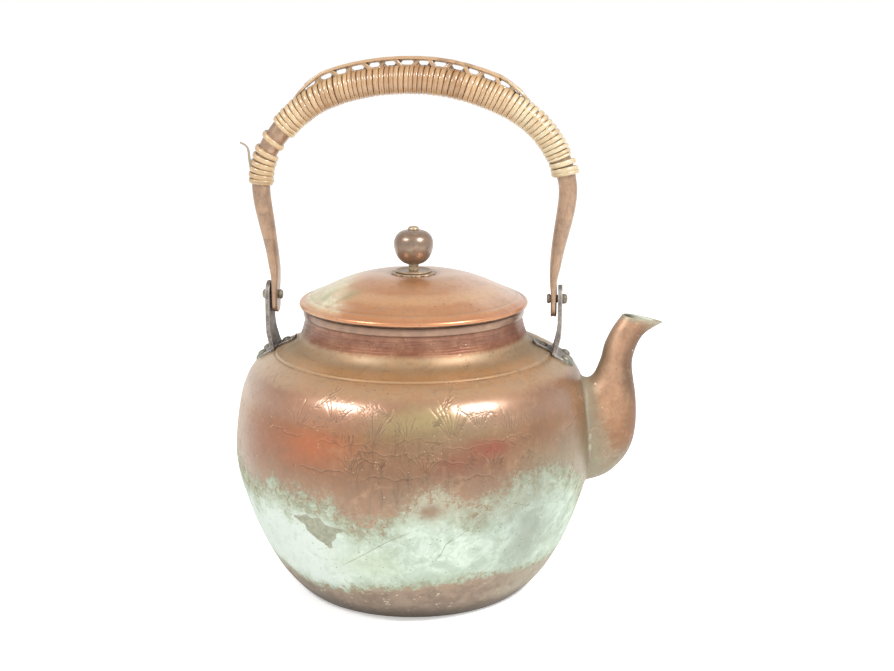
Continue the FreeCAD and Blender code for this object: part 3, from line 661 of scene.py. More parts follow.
def spout_surfaces():
    Po, _ = spout_lines(SPOUT)
    Pi, _ = spout_lines(SPOUT_IN)
    ro = root_of(Po, 0.6)
    ri = root_of(Pi, 0.6)
    n = 120
    k = np.linspace(0, 1, n)[:, None]
    so = ro[None] + (len(Po) - 1 - ro)[None] * k
    end_i = (len(Pi) - 1) * (len(SPOUT_IN) - 2) / (len(SPOUT_IN) - 1.0)
    si = ri[None] + (end_i - ri)[None] * k
    return Po, along(Po, so), along(Pi, si), ro


def spout_piece(mat):
    Po, O, I, ro = spout_surfaces()
    # unevenness and small dents
    N = unit(np.cross(np.roll(O, -1, 1) - np.roll(O, 1, 1), np.gradient(O, axis=0)))
    c = O.mean(1, keepdims=True)
    N = N * np.sign((N * (O - c)).sum(-1, keepdims=True))
    k = np.linspace(0, 1, len(O))[:, None]
    live = smooth(k, 0.04, 0.15) * (1 - smooth(k, 0.9, 0.98))
    O = O + N * (live * (0.12 * fbm(O, 16.0, 2, 91) + 0.03 * fbm(O, 5.0, 2, 92)))[..., None]
    tip_o, tip_i = O[-1], I[-1]
    # rounded lip between the two skins
    lip = []
    up = unit(np.array([-0.15, 0, 1.0]))
    for f, h in [(0.12, 0.22), (0.3, 0.36), (0.5, 0.42), (0.7, 0.36), (0.88, 0.22)]:
        lip.append(tip_o * (1 - f) + tip_i * f + up * h)
    b = Bag()
    lipn = len(lip)
    rows = np.concatenate([O, np.array(lip), I[::-1]], 0)
    ins = np.concatenate([np.zeros((len(O), O.shape[1])), np.tile(np.linspace(0.1, 0.6, lipn)[:, None], (1, O.shape[1])), np.ones((len(I), O.shape[1]))], 0)
    kk = np.concatenate([k + 0 * O[..., 0], np.ones((lipn, O.shape[1])), k[::-1] + 0 * I[..., 0]], 0)
    b.grid(rows, wrap_u=True, wrap_v=True, m_in=ins, m_up=kk)
    return b.make("spout_copper", "kettle", mat, replaces=["spout"], sharp=60)


def seam_piece(mat):
    """brazed fillet round the spout's root"""
    Po, _ = spout_lines(SPOUT, n_round=160)
    r0 = root_of(Po, 0.0)
    root = along(Po, r0[None])[0]
    up1 = along(Po, np.minimum(r0 + 14, len(Po) - 1)[None])[0]
    ts = unit(up1 - root)
    c = root.mean(0)
    out = root - c
    # outward normal of the body at the root, and the direction away from the spout on the body
    z = root[:, 2]
    dr = (body_r(z + 0.5) - body_r(z - 0.5))
    rad = unit(root * np.array([1, 1, 0]))
    nb = unit(rad + np.array([0, 0, -1.0]) * dr[:, None])
    ring_t = unit(np.roll(root, -1, 0) - np.roll(root, 1, 0))
    tb = unit(np.cross(ring_t, nb))
    tb = tb * np.sign((tb * out).sum(-1, keepdims=True))
    ang = np.arange(len(root)) * 2 * math.pi / len(root)
    w = 1.25 + 0.22 * np.sin(3 * ang + 1) + 0.16 * np.sin(7 * ang) + 0.1 * np.sin(13 * ang + 2)
    w = w[:, None]
    so = unit(nb + tb)
    prof = []
    A = root + ts * w * 1.05
    Bp = root + tb * w * 1.05 - nb * 0.05
    for t in np.linspace(0, 1, 8):
        ctl = root + (ts + tb) * 0.20 * w
        prof.append((1 - t) ** 2 * A + 2 * t * (1 - t) * ctl + t * t * Bp)
    prof.append(root + tb * w * 0.8 - nb * 0.45)
    prof.append(root - nb * 0.45 - ts * 0.0)
    inward = unit(np.cross(ring_t, ts))
    inward = inward * -np.sign((inward * out).sum(-1, keepdims=True))
    prof.append(root + inward * 0.35 + ts * 0.3)
    prof.append(root + ts * w * 0.9 + inward * 0.3)
    P = np.array(prof)
    P = P + 0.0
    b = Bag()
    b.grid(P, wrap_u=True, wrap_v=True)
    return b.make("spout_braze", "kettle", mat, replaces=["spout_seam"], sharp=60)


# ------------------------------------------------------------------ handle
HS = Spline([(h[0], h[1], h[2], h[3]) for h in HANDLE], by_index=True)
_i = np.linspace(0, len(HANDLE) - 1, 6001)
_p = HS(_i)
_s = np.r_[0, np.cumsum(np.hypot(*np.diff(_p[:, :2], axis=0).T))]


def s_at(i):
    return np.interp(i, _i, _s)


def i_at(s):
    return np.interp(s, _s, _i)


def handle_frame(i):
    """centre (n, 3), tangent, outward in-plane normal, in-plane and sideways half sizes"""
    q = HS(i)
    d = HS(i, 1)[..., :2]
    t = unit(d)
    c = np.stack([q[..., 0], 0 * q[..., 0], q[..., 1]], -1)
    T = np.stack([t[..., 0], 0 * t[..., 0], t[..., 1]], -1)
    N = np.stack([-t[..., 1], 0 * t[..., 0], t[..., 0]], -1)
    return c, T, N, np.maximum(q[..., 2], 1.4), q[..., 3]


def handle_copper(mat):
    m = 72
    w = np.arange(m) * 2 * math.pi / m
    rows = []
    # tube with its flattened ends: superellipse sections
    st = np.concatenate([np.linspace(0.0, 4, 40), np.linspace(4, 26, 170)[1:-1], np.linspace(26, 30, 40)])
    c, T, N, a, b2 = handle_frame(st)
    from_end = np.minimum(st, 30 - st)
    ex = 2.0 + 2.6 * (1 - smooth(from_end, 0.3, 2.6))
    cw = np.sign(np.cos(w))[None] * np.abs(np.cos(w))[None] ** (2 / ex[:, None])
    sw = np.sign(np.sin(w))[None] * np.abs(np.sin(w))[None] ** (2 / ex[:, None])
    P = c[:, None] + N[:, None] * (a[:, None] * cw)[..., None]
    P[..., 1] = b2[:, None] * sw
    # blades below each end of the tube, straight down, rounded at the foot
    def blade(sign, x_mid=69.8, half=1.5):
        out = []
        zs = np.concatenate([np.linspace(149.2, 143.4, 14), 142.6 - 5.0 * np.sin(np.linspace(0, 0.5, 18) * math.pi)])
        for z in zs:
            wdt = 6.0 if z > 142.6 else 6.0 * math.sqrt(max(0.0, 1 - ((142.6 - z) / 5.0) ** 2))
            wdt = max(wdt, 0.35)
            e = 4.6
            hh = half * (1.0 if z > 139 else 0.86 + 0.14 * (z - 137.6) / 1.4)
            cc = np.sign(np.cos(w)) * np.abs(np.cos(w)) ** (2 / e)
            ss = np.sign(np.sin(w)) * np.abs(np.sin(w)) ** (2 / e)
            nx = -1.0 if sign < 0 else 1.0
            out.append(np.stack([sign * x_mid + nx * hh * cc * 1.0, wdt * ss, z + 0 * w], -1))
        return np.array(out)
    L = blade(-1)[::-1]
    R = blade(1)
    # keep the winding of the tube sections: in-plane normal is -X on the left leg and +X on the right
    P = np.concatenate([L, P, R], 0)
    live = np.concatenate([np.zeros(len(L)), smooth(from_end, 1, 3), np.zeros(len(R))])[:, None]
    ctr = P.mean(1, keepdims=True)
    N3 = unit(P - ctr)
    P = P + N3 * (live * (0.13 * fbm(P, 11.0, 2, 101) + 0.03 * fbm(P, 3.5, 2, 102)))[..., None]
    b = Bag()
    b.grid(P, wrap_v=True)
    b.fan(P[0].mean(0), P[0])
    b.fan(P[-1].mean(0), P[-1], flip=True)
    o = b.make("handle_copper", "handle", mat, replaces=["handle_tube"], sharp=45)
    bm = bmesh.new()
    for sx in (-1, 1):
        m4 = Matrix.Translation((sx * 0.0698, 0, PIVOT_Z * MM)) @ Matrix.Rotation(math.pi / 2, 4, "Y")
        bmesh.ops.create_cone(bm, cap_ends=True, segments=48, radius1=0.00196, radius2=0.00196, depth=0.008, matrix=m4)
        # open slot at the foot of the folded blade
        m5 = Matrix.Translation((sx * 0.0698, 0, 0.1378)) @ Matrix.Diagonal((0.0011, 0.0062, 0.0056, 1))
        bmesh.ops.create_cube(bm, size=1.0, matrix=m5)
    me = bpy.data.meshes.new("cut")
    bm.to_mesh(me)
    bm.free()
    cut = bpy.data.objects.new("cut", me)
    scene.collection.objects.link(cut)
    boolean(o, cut)
    return o


def strand(bag, c, u_dir, side, half_w, thick, along_mm, sid, n=9, base=0.0, crown=2.3):
    """one flat-backed rattan strand: centre line c (n, 3) on its flat back, outward direction, sideways direction"""
    # split strand: upright edges, then a low crown
    hx = np.array([1.0, 0.985, 0.87, 0.62, 0.32, 0.0])
    hy = np.array([0.05, 0.52, 0.78, 0.92, 0.985, 1.0])
    px = np.r_[hx, -hx[-2::-1]]
    py = np.r_[hy, hy[-2::-1]]
    half_w = np.broadcast_to(half_w, (len(c),))
    thick = np.broadcast_to(thick, (len(c),))
    P = c[:, None] + side[:, None] * (half_w[:, None] * px[None])[..., None] + u_dir[:, None] * (base + thick[:, None] * py[None])[..., None]
    under = c[:, None] + u_dir[:, None] * (base - 0.0) + side[:, None] * (half_w[:, None] * np.array([[-0.5, 0.5]]))[..., None]
    P = np.concatenate([P, under - u_dir[:, None] * 0.08], 1)
    acr = np.r_[px, [-0.5, 0.5]][None] + 0 * P[..., 0]
    al = np.asarray(along_mm)[:, None] + 0 * P[..., 0]
    si = np.broadcast_to(np.asarray(sid, float), (len(c),))[:, None] + 0 * P[..., 0]
    bag.grid(P, wrap_v=True, r_along=al, r_across=acr, r_id=si)
    i0 = P[0].mean(0)
    i1 = P[-1].mean(0)
    bag.fan(i0, P[0], r_along=al[0, 0], r_across=0.0, r_id=si[0, 0])
    bag.fan(i1, P[-1], flip=True, r_along=al[-1, 0], r_across=0.0, r_id=si[-1, 0])


def coil(bag, s_turns, first_id, half_w=1.24, thick=WRAP_T, per=40, slack=0.0, seed=0, phase=0.0, crown=2.3):
    """strand wound on the handle; s_turns gives the place along the handle at every whole turn"""
    nt = len(s_turns) - 1
    tt = np.linspace(0, nt, nt * per + 1)
    s = np.interp(tt, np.arange(nt + 1), s_turns)
    i = i_at(s)
    c, T, N, a, b2 = handle_frame(i)
    w = 2 * math.pi * tt + phase
    Bv = np.array([0, 1.0, 0])
    r = np.random.RandomState(seed)
    jit = r.uniform(-1, 1, nt + 2)
    jw = r.uniform(-1, 1, nt + 2)
    jt = np.interp(tt, np.arange(nt + 2), jit)
    jw = np.interp(tt, np.arange(nt + 2), jw)
    lift = slack * (0.5 + 0.5 * jt)
    if half_w is None:
        gap = np.diff(s_turns)
        gap = np.r_[gap[0], 0.5 * (gap[1:] + gap[:-1]), gap[-1]]
        half_w = np.minimum(0.487 * np.interp(tt, np.arange(nt + 1), gap), 1.36) / (1 + 0.06 * jw)
    radial = N * np.cos(w)[:, None] + Bv[None] * np.sin(w)[:, None]
    onto = c + N * ((a + 0.02 + lift) * np.cos(w))[:, None] + Bv[None] * ((b2 + 0.02 + lift) * np.sin(w))[:, None]
    nrm = unit(N * (np.cos(w) / (a + 0.1))[:, None] + Bv[None] * (np.sin(w) / (b2 + 0.1))[:, None])
    onto = onto + T * (0.10 * jt * np.sin(w + jw))[:, None]
    side = unit(T - nrm * (T * nrm).sum(-1, keepdims=True))
    run = np.r_[0, np.cumsum(np.linalg.norm(np.diff(onto, axis=0), axis=1))]
    taper = np.minimum(np.arange(len(tt)) / 6.0, 1) * np.minimum((len(tt) - 1 - np.arange(len(tt))) / 6.0, 1)
    taper = 0.35 + 0.65 * np.clip(taper, 0, 1)
    strand(bag, onto, nrm, side, half_w * (1 + 0.06 * jw), thick * (0.93 + 0.07 * jt) * taper, run, first_id + tt, crown=crown)


def rattan(mat):
    out = []
    s21 = s_at(21.0)
    # main wrap: close winding, opening out towards the left end
    b = Bag()
    tight0 = s_at(10.28)
    n = int(round((s21 - tight0) / 2.52))
    r = np.random.RandomState(11)
    pitch = 2.52 + 0.0 * np.arange(n + 1)
    pitch += r.uniform(-0.42, 0.42, n + 1) + 0.18 * np.sin(np.arange(n + 1) * 0.37)
    pitch[-16:] += r.uniform(-0.7, 0.5, 16)
    main = np.r_[0, np.cumsum(pitch)]
    main = tight0 + main / main[-1] * (s21 - 0.75 - tight0)
    coil(b, main, 10, half_w=None, seed=12, phase=0.4)
    # two single turns lower down, with bare copper showing between them
    c0 = s_at(9.50)
    coil(b, np.array([c0, c0 + 2.9]), 3, half_w=1.3, seed=13, phase=2.6)
    out.append(b.make("rattan_grip", "handle", mat, replaces=["rattan_wrap"], sharp=70))
    # left binding: six thicker, uneven coils
    b = Bag()
    turns = s_at(np.array([6.93, 7.27, 7.66, 8.02, 8.36, 8.72, 9.08]))
    coil(b, turns, 200, half_w=1.38, thick=BIND_T, seed=21, slack=0.16, phase=2.2)
    s7 = s_at(6.97)
    coil(b, np.array([s7 + 0.35, s7 + 1.6]), 240, half_w=0.8, thick=BIND_T + 0.45, seed=22, slack=0.2, phase=0.2)
    out.append(b.make("rattan_tie_left", "handle", mat, replaces=["rattan_binding_left"], sharp=70))
    # right binding: a double band
    b = Bag()
    s21b, s22 = s_at(21.0), s_at(21.95)
    L = s22 - s21b
    coil(b, s21b + L * np.array([0.09, 0.47, 0.86]), 300, half_w=1.45, thick=BIND_T + 0.1, seed=31, slack=0.15, phase=2.5, crown=2.2)
    coil(b, s21b + L * np.array([0.62, 0.93]), 330, half_w=1.0, thick=BIND_T + 0.45, seed=32, slack=0.2, phase=1.0, crown=2.0)
    out.append(b.make("rattan_tie_right", "handle", mat, replaces=["rattan_binding_right"], sharp=70))
    return out


def lift_at(i):
    s = (i - RUNNER[0]) / (RUNNER[1] - RUNNER[0])
    e = np.clip(np.minimum(s, 1 - s) / 0.17, 0, 1)
    return e * e * (3 - 2 * e)


def lacing(mat):
    """strips carried above the wrap on crossed strands"""
    i = np.linspace(RUNNER[0], RUNNER[1], 260)
    c, T, N, a, b2 = handle_frame(i)
    lf = lift_at(i)
    s = s_at(i)
    y_dir = np.tile(np.array([[0, 1.0, 0]]), (len(i), 1))
    b = Bag()
    h0 = a + WRAP_T - 0.75 + (LACE_H + 0.75) * lf
    for k, (yy, hw) in enumerate([(-1.28, 1.2), (1.28, 1.2)]):
        wave = 0.10 * np.sin(s * 0.42 + k * 1.7)
        cc = c + N * (h0 + 0.04 * np.sin(s * 0.84 + 2 * k))[:, None] + y_dir * (yy + wave)[:, None]
        ends = np.clip(np.minimum(np.arange(len(i)), len(i) - 1 - np.arange(len(i))) / 10.0, 0, 1)
        strand(b, cc + N * (0.25 * lf)[:, None], N, y_dir, hw * (0.6 + 0.4 * ends), 1.35 * (0.45 + 0.55 * ends), s, 400 + k, crown=2.4)
    o1 = b.make("rattan_ridge", "handle", mat, replaces=["rattan_runner"], sharp=70)
    # crossed strands: one zigzag each way, meeting the wrap and the strip in turn
    b = Bag()
    i0, i1 = 11.95, 18.1
    j = np.linspace(i0, i1, 900)
    s = s_at(j)
    L0, L1 = s_at(12.4), s_at(17.65)
    pitch = (L1 - L0) / 11.0
    c, T, N, a, b2 = handle_frame(j)
    lf = lift_at(j)
    ydir = np.tile(np.array([[0, 1.0, 0]]), (len(j), 1))
    for k, (yy, ph) in enumerate([(-0.75, 0.0), (0.75, 0.5)]):
        t = (s - s_at(14.85)) / (2 * 7.55) + ph + 0.025 * np.sin(s * 0.31 + k)
        tri = np.abs(((t + 0.5) % 1.0) * 2 - 1)
        tri = smooth(tri, 0.24, 0.76)
        h = a + WRAP_T - 1.6 + ((LACE_H + 0.2) * lf + 1.5) * tri
        cc = c + N * h[:, None] + ydir * (yy + 0.55 * np.sin(2 * math.pi * t + k))[:, None]
        tang = unit(np.gradient(cc, axis=0))
        up = unit(np.cross(tang, ydir))
        up = up * np.sign((up * N).sum(-1, keepdims=True))
        side = unit(np.cross(up, tang))
        strand(b, cc - up * 0.55, up, side, 1.15, 2.0, s, 420 + k, n=7, crown=2.1)
    o2 = b.make("rattan_lace", "handle", mat, replaces=["rattan_lacing"], sharp=70)
    # loose strand end standing out of the left binding
    W = Spline(WHISKER)
    u = np.linspace(0, W.end, 60)
    p = W(u)
    tang = unit(W(u, 1))
    y = np.tile(np.array([[0, 1.0, 0.2]]), (len(u), 1))
    side = unit(np.cross(tang, y))
    up = unit(np.cross(side, tang))
    k = u / W.end
    b = Bag()
    strand(b, p - up * 0.4, up, side, 0.80 * (1 - 0.5 * k), 0.85 * (1 - 0.45 * k), u, 500 + 0 * u, n=7, crown=2.0)
    o3 = b.make("rattan_end", "handle", mat, replaces=["rattan_loose_end"], sharp=70)
    return [o1, o2, o3]


# -------------------------------------------------------- lugs and fixings
def worn(node, name, body, slot, mat, voxel, rounds=3, rough=0.05, keep=True, seed=0):
    """a softly worn copy of a CAD piece: remeshed finely, its edges rounded and its faces slightly uneven"""
    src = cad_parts[node]
    me = src.data.copy()
    o = bpy.data.objects.new(name, me)
    scene.collection.objects.link(o)
    m = o.modifiers.new("remesh", "REMESH")
    m.mode, m.voxel_size, m.adaptivity = "VOXEL", voxel * MM, 0.0
    sm = o.modifiers.new("smooth", "SMOOTH")
    sm.factor, sm.iterations = 0.5, rounds
    dg = bpy.context.evaluated_depsgraph_get()
    new = bpy.data.meshes.new_from_object(o.evaluated_get(dg), depsgraph=dg)
    o.modifiers.clear()
    o.data = new
    bpy.data.meshes.remove(me)
    n = len(new.vertices)
    co = np.zeros(n * 3, np.float32)
    new.vertices.foreach_get("co", co)
    no = np.zeros(n * 3, np.float32)
    new.vertices.foreach_get("normal", no)
    co, no = co.reshape(-1, 3).astype(float), no.reshape(-1, 3)
    co = co + no * (rough * MM * (fbm(co / MM, 5.0, 3, seed)))[:, None]
    new.vertices.foreach_set("co", co.astype(np.float32).ravel())
    new.materials.clear()
    new.materials.append(mat)
    new.polygons.foreach_set("use_smooth", np.ones(len(new.polygons), bool))
    new.update()
    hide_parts(node)
    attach(o, body)
    return o


# --------------------------------------------------------------- materials
def lin(c):
    """sRGB 0-255 to linear"""
    out = []
    for v in c:
        v = v / 255.0
        out.append(v / 12.92 if v <= 0.04045 else ((v + 0.055) / 1.055) ** 2.4)
    return tuple(out) + (1.0,)


class Mat:
    """small helper for a node material with one Principled shader"""

    def __init__(self, name):
        self.m = bpy.data.materials.new(name)
        self.m.use_nodes = True
        self.t = self.m.node_tree
        self.t.nodes.clear()
        self.out = self.t.nodes.new("ShaderNodeOutputMaterial")
        self.p = self.t.nodes.new("ShaderNodeBsdfPrincipled")
        self.t.links.new(self.p.outputs[0], self.out.inputs[0])
        self.co = self.t.nodes.new("ShaderNodeTexCoord").outputs["Object"]
        self.mm = self.vmath("SCALE", self.co, scale=1000.0)
        xyz = self.t.nodes.new("ShaderNodeSeparateXYZ")
        self.link(self.mm, xyz.inputs[0])
        self.x, self.y, self.z = xyz.outputs

    def link(self, a, b):
        self.t.links.new(a, b)

    def put(self, v, sock):
        if isinstance(v, bpy.types.NodeSocket):
            self.link(v, sock)
        elif isinstance(v, (tuple, list)) and sock.type == "VECTOR":
            sock.default_value = tuple(v)[:3]
        else:
            sock.default_value = v

    def vmath(self, op, a, b=None, scale=None):
        n = self.t.nodes.new("ShaderNodeVectorMath")
        n.operation = op
        self.put(a, n.inputs[0])
        if b is not None:
            self.put(b, n.inputs[1])
        if scale is not None:
            self.put(scale, n.inputs[3])
        return n.outputs[1] if op in ("LENGTH", "DISTANCE", "DOT_PRODUCT") else n.outputs[0]

    def m_(self, op, a, b=0.0, c=0.0, clamp=False):
        n = self.t.nodes.new("ShaderNodeMath")
        n.operation, n.use_clamp = op, clamp
        self.put(a, n.inputs[0])
        self.put(b, n.inputs[1])
        self.put(c, n.inputs[2])
        return n.outputs[0]

    def add(self, a, b):
        return self.m_("ADD", a, b)

    def sub(self, a, b):
        return self.m_("SUBTRACT", a, b)

    def mul(self, a, b, clamp=False):
        return self.m_("MULTIPLY", a, b, clamp=clamp)

    def ma(self, a, b, c):
        return self.m_("MULTIPLY_ADD", a, b, c)

    def step(self, x, a, b, lo=0.0, hi=1.0):
        n = self.t.nodes.new("ShaderNodeMapRange")
        n.interpolation_type = "SMOOTHSTEP"
        self.put(x, n.inputs["Value"])
        self.put(a, n.inputs["From Min"])
        self.put(b, n.inputs["From Max"])
        self.put(lo, n.inputs["To Min"])
        self.put(hi, n.inputs["To Max"])
        return n.outputs["Result"]

    def band(self, x, a, b, soft):
        return self.mul(self.step(x, a - soft, a + soft), self.sub(1.0, self.step(x, b - soft, b + soft)))

    def noise(self, scale, detail=4.0, rough=0.55, dist=0.0, vec=None, offset=None, stretch=None, col=False):
        """noise with features about scale millimetres"""
        v = self.mm if vec is None else vec
        if stretch is not None:
            v = self.vmath("MULTIPLY", v, stretch)
        if offset is not None:
            v = self.vmath("ADD", v, (offset, offset * 1.7, offset * 0.3))
        n = self.t.nodes.new("ShaderNodeTexNoise")
        self.put(v, n.inputs["Vector"])
        n.inputs["Scale"].default_value = 1.0 / scale
        n.inputs["Detail"].default_value = detail
        n.inputs["Roughness"].default_value = rough
        n.inputs["Distortion"].default_value = dist
        return n.outputs["Color"] if col else n.outputs[0]

    def voronoi(self, scale, feature="F1", vec=None, rnd=1.0):
        n = self.t.nodes.new("ShaderNodeTexVoronoi")
        n.feature = feature
        self.put(self.mm if vec is None else vec, n.inputs["Vector"])
        n.inputs["Scale"].default_value = 1.0 / scale
        n.inputs["Randomness"].default_value = rnd
        return n.outputs["Distance"]

    def attr(self, name):
        n = self.t.nodes.new("ShaderNodeAttribute")
        n.attribute_name = name
        return n.outputs["Fac"]

    def mix(self, f, a, b, blend="MIX"):
        n = self.t.nodes.new("ShaderNodeMix")
        n.data_type, n.blend_type, n.clamp_factor = "RGBA", blend, True
        self.put(f, n.inputs[0])
        self.put(a if not isinstance(a, tuple) or len(a) == 4 else lin(a), n.inputs[6])
        self.put(b if not isinstance(b, tuple) or len(b) == 4 else lin(b), n.inputs[7])
        return n.outputs[2]

    def fmix(self, f, a, b):
        n = self.t.nodes.new("ShaderNodeMix")
        n.data_type, n.clamp_factor = "FLOAT", True
        self.put(f, n.inputs[0])
        self.put(a, n.inputs[2])
        self.put(b, n.inputs[3])
        return n.outputs[0]

    def blob(self, cx, cy, rx, ry, u, v, soft=0.45, rag=None):
        """soft ellipse mask in two coordinates, 1 inside; rag adds a ragged edge"""
        a = self.m_("DIVIDE", self.sub(u, cx), rx)
        b = self.m_("DIVIDE", self.sub(v, cy), ry)
        d = self.m_("SQRT", self.add(self.mul(a, a), self.mul(b, b)))
        if rag is not None:
            d = self.add(d, rag)
        return self.step(d, 1 + soft, 1 - soft)

    def bump(self, height, strength=0.3, dist_mm=0.1, normal=None):
        n = self.t.nodes.new("ShaderNodeBump")
        n.inputs["Strength"].default_value = strength
        n.inputs["Distance"].default_value = dist_mm * MM
        self.put(height, n.inputs["Height"])
        if normal is not None:
            self.link(normal, n.inputs["Normal"])
        return n.outputs[0]

    def finish(self, color, rough=0.4, metal=0.0, normal=None, spec=0.5, coat=0.0, coat_rough=0.2):
        p = self.p.inputs
        self.put(color if not isinstance(color, tuple) or len(color) == 4 else lin(color), p["Base Color"])
        self.put(rough, p["Roughness"])
        self.put(metal, p["Metallic"])
        p["Specular IOR Level"].default_value = spec
        if coat:
            p["Coat Weight"].default_value = coat
            p["Coat Roughness"].default_value = coat_rough
        if normal is not None:
            self.link(normal, p["Normal"])
        return self.m


def signed(M, n):
    """noise 0..1 to about -1..1"""
    return M.ma(n, 2.0, -1.0)


def mat_body():
    M = Mat("aged_copper_body")
    deg, z = M.mul(M.m_("ARCTAN2", M.x, M.mul(M.y, -1.0)), 1.0 / D2R), M.z
    n_big, n_mid, n_fine = M.noise(26, 4, 0.6), M.noise(9, 5, 0.62, 0.4, offset=13), M.noise(2.2, 6, 0.65, offset=31)
    n_tiny = M.noise(0.7, 3, 0.6, offset=57)
    rag = M.mul(signed(M, n_mid), 0.75)
    rag2 = M.mul(signed(M, M.noise(14, 5, 0.66, 0.8, offset=63)), 0.9)
    fade_l, fade_r = M.step(deg, -176, -128), M.step(deg, 176, 128)
    # ---- copper tones
    c = M.mix(M.step(n_big, 0.35, 0.66), (148, 108, 78), (160, 120, 86))
    c = M.mix(M.mul(M.step(n_mid, 0.42, 0.74), 0.4), c, (144, 98, 70))
    # painted light: paler towards the lit left side, browner to the right
    c = M.mix(M.mul(M.mul(M.step(M.add(deg, M.mul(signed(M, n_big), 16)), -44, -66), fade_l), 0.75), c, (170, 144, 122))
    c = M.mix(M.mul(M.blob(-28, 90, 26, 13, deg, z, 0.7, rag2), 0.9), c, (158, 106, 74))
    c = M.mix(M.mul(M.blob(-25, 92, 17, 7, deg, z, 0.9, rag2), 0.75), c, (190, 112, 70))
    c = M.mix(M.mul(M.blob(-28, 108, 22, 8, deg, z, 0.8, rag2), 0.5), c, (178, 132, 100))
    c = M.mix(M.mul(M.blob(-46, 92, 12, 14, deg, z, 0.8, rag2), 0.6), c, (146, 104, 76))
    c = M.mix(M.mul(M.blob(4, 88, 19, 17, deg, z, 0.7, rag2), 0.85), c, (146, 116, 88))
    c = M.mix(M.mul(M.blob(-2, 79, 15, 9, deg, z, 0.7, rag), 0.6), c, (140, 104, 76))
    c = M.mix(M.mul(M.blob(22, 100, 20, 9, deg, z, 0.8, rag2), 0.7), c, (146, 126, 104))
    c = M.mix(M.mul(M.blob(60, 98, 19, 14, deg, z, 0.7, rag2), 0.8), c, (138, 104, 76))
    c = M.mix(M.mul(M.blob(8, 106, 11, 5.5, deg, z, 0.8, rag), 0.8), c, (168, 156, 104))
    c = M.mix(M.mul(M.blob(11, 100, 20, 3.5, deg, z, 0.9, rag), 0.5), c, (142, 128, 92))
    c = M.mix(M.mul(M.blob(27, 92, 9, 5, deg, z, 0.7, rag), 0.85), c, (146, 96, 74))
    c = M.mix(M.mul(M.blob(30, 92.5, 5, 2.6, deg, z, 0.9, rag), 0.6), c, (150, 72, 54))
    c = M.mix(M.mul(M.blob(17, 86, 7, 4, deg, z, 0.8, rag), 0.7), c, (138, 78, 58))
    c = M.mix(M.mul(M.blob(24, 79, 13, 6, deg, z, 0.8, rag), 0.6), c, (130, 100, 80))
    c = M.mix(M.mul(M.band(z, 60, 80, 5), 0.4), c, (128, 100, 78))
    # dark smears running down the middle of the belly
    run = M.noise(4.0, 5, 0.7, 0.6, offset=173, stretch=(1.5, 1.5, 0.32))
    sm = M.blob(1, 84, 17, 19, deg, z, 0.6, rag)
    c = M.mix(M.mul(M.mul(M.step(run, 0.50, 0.64), sm), 0.7), c, (104, 84, 60))
    # grey-brown film on the back, carried onto the sides as painted edge reflection, paler on the left side as painted
    # light
    side = M.step(M.add(M.m_("ABSOLUTE", M.sub(deg, 4)), M.mul(signed(M, n_mid), 12)), 52, 86)
    left_ = M.mul(M.step(deg, -20, -60), fade_l)
    c = M.mix(M.mul(side, 0.75), c, M.mix(left_, (134, 116, 94), (186, 172, 154)))
    # pale film creeping up the right side above the crust
    rise = M.mul(M.mul(M.step(M.add(deg, M.mul(signed(M, n_big), 18)), 30, 56), fade_r), M.step(M.add(z, M.add(M.mul(signed(M, n_mid), 9), M.mul(signed(M, n_fine), 4))), 99, 79))
    c = M.mix(M.mul(rise, 0.72), c, (146, 138, 114))
    # shoulder above the step: golden brown with a grey-green film
    sh = M.step(M.add(z, M.mul(signed(M, n_mid), 2.0)), 111.5, 116.5)
    gold = M.mix(M.step(n_mid, 0.35, 0.7), (186, 148, 104), (178, 150, 116))
    c = M.mix(M.mul(sh, 0.85), c, gold)
    up = M.band(z, 122.8, 128.0, 1.6)
    c = M.mix(M.mul(up, M.fmix(M.step(n_big, 0.4, 0.62), 0.5, 0.9)), c, (168, 150, 126))
    # painted edge reflection on the shoulder's sides, and painted light paler on its left
    c = M.mix(M.mul(M.mul(sh, side), 0.8), c, M.mix(left_, (168, 158, 134), (206, 198, 178)))
    c = M.mix(M.mul(M.mul(M.mul(sh, M.step(deg, -28, -50)), fade_l), 0.4), c, (196, 174, 146))
    # pinkish bare neck with dark chased lines
    neck = M.step(M.add(z, M.mul(signed(M, n_fine), 0.9)), 127.4, 130.2)
    neck_c = M.mix(M.step(n_mid, 0.34, 0.66), (136, 84, 60), (160, 112, 84))
    neck_c = M.mix(M.mul(M.mul(M.step(deg, 30, 62), fade_r), 0.6), neck_c, (132, 84, 62))
    # painted light: paler along the neck's left edge
    neck_c = M.mix(M.mul(M.mul(side, left_), 0.85), neck_c, (186, 176, 160))
    neck_c = M.mix(M.mul(M.step(M.noise(3.0, 5, 0.7, 0.4, offset=83, stretch=(0.35, 0.35, 1.6)), 0.52, 0.64), 0.45), neck_c, (120, 70, 50))
    c = M.mix(neck, c, neck_c)
    ch = M.mul(M.attr("m_chase"), M.step(z, 128.2, 130.8))
    c = M.mix(M.mul(ch, M.fmix(M.step(M.noise(6, 4, 0.7, offset=87), 0.42, 0.6), 0.15, 0.6)), c, (96, 56, 42))
    # the step itself: painted shade below the bead, painted highlight on top of it
    st = M.attr("m_step")
    c = M.mix(M.mul(M.band(st, -1.5, -0.5, 0.3), M.fmix(M.step(n_mid, 0.4, 0.6), 0.2, 0.5)), c, (132, 108, 76))
    c = M.mix(M.mul(M.band(st, 0.0, 0.7, 0.3), 0.35), c, (214, 190, 156))
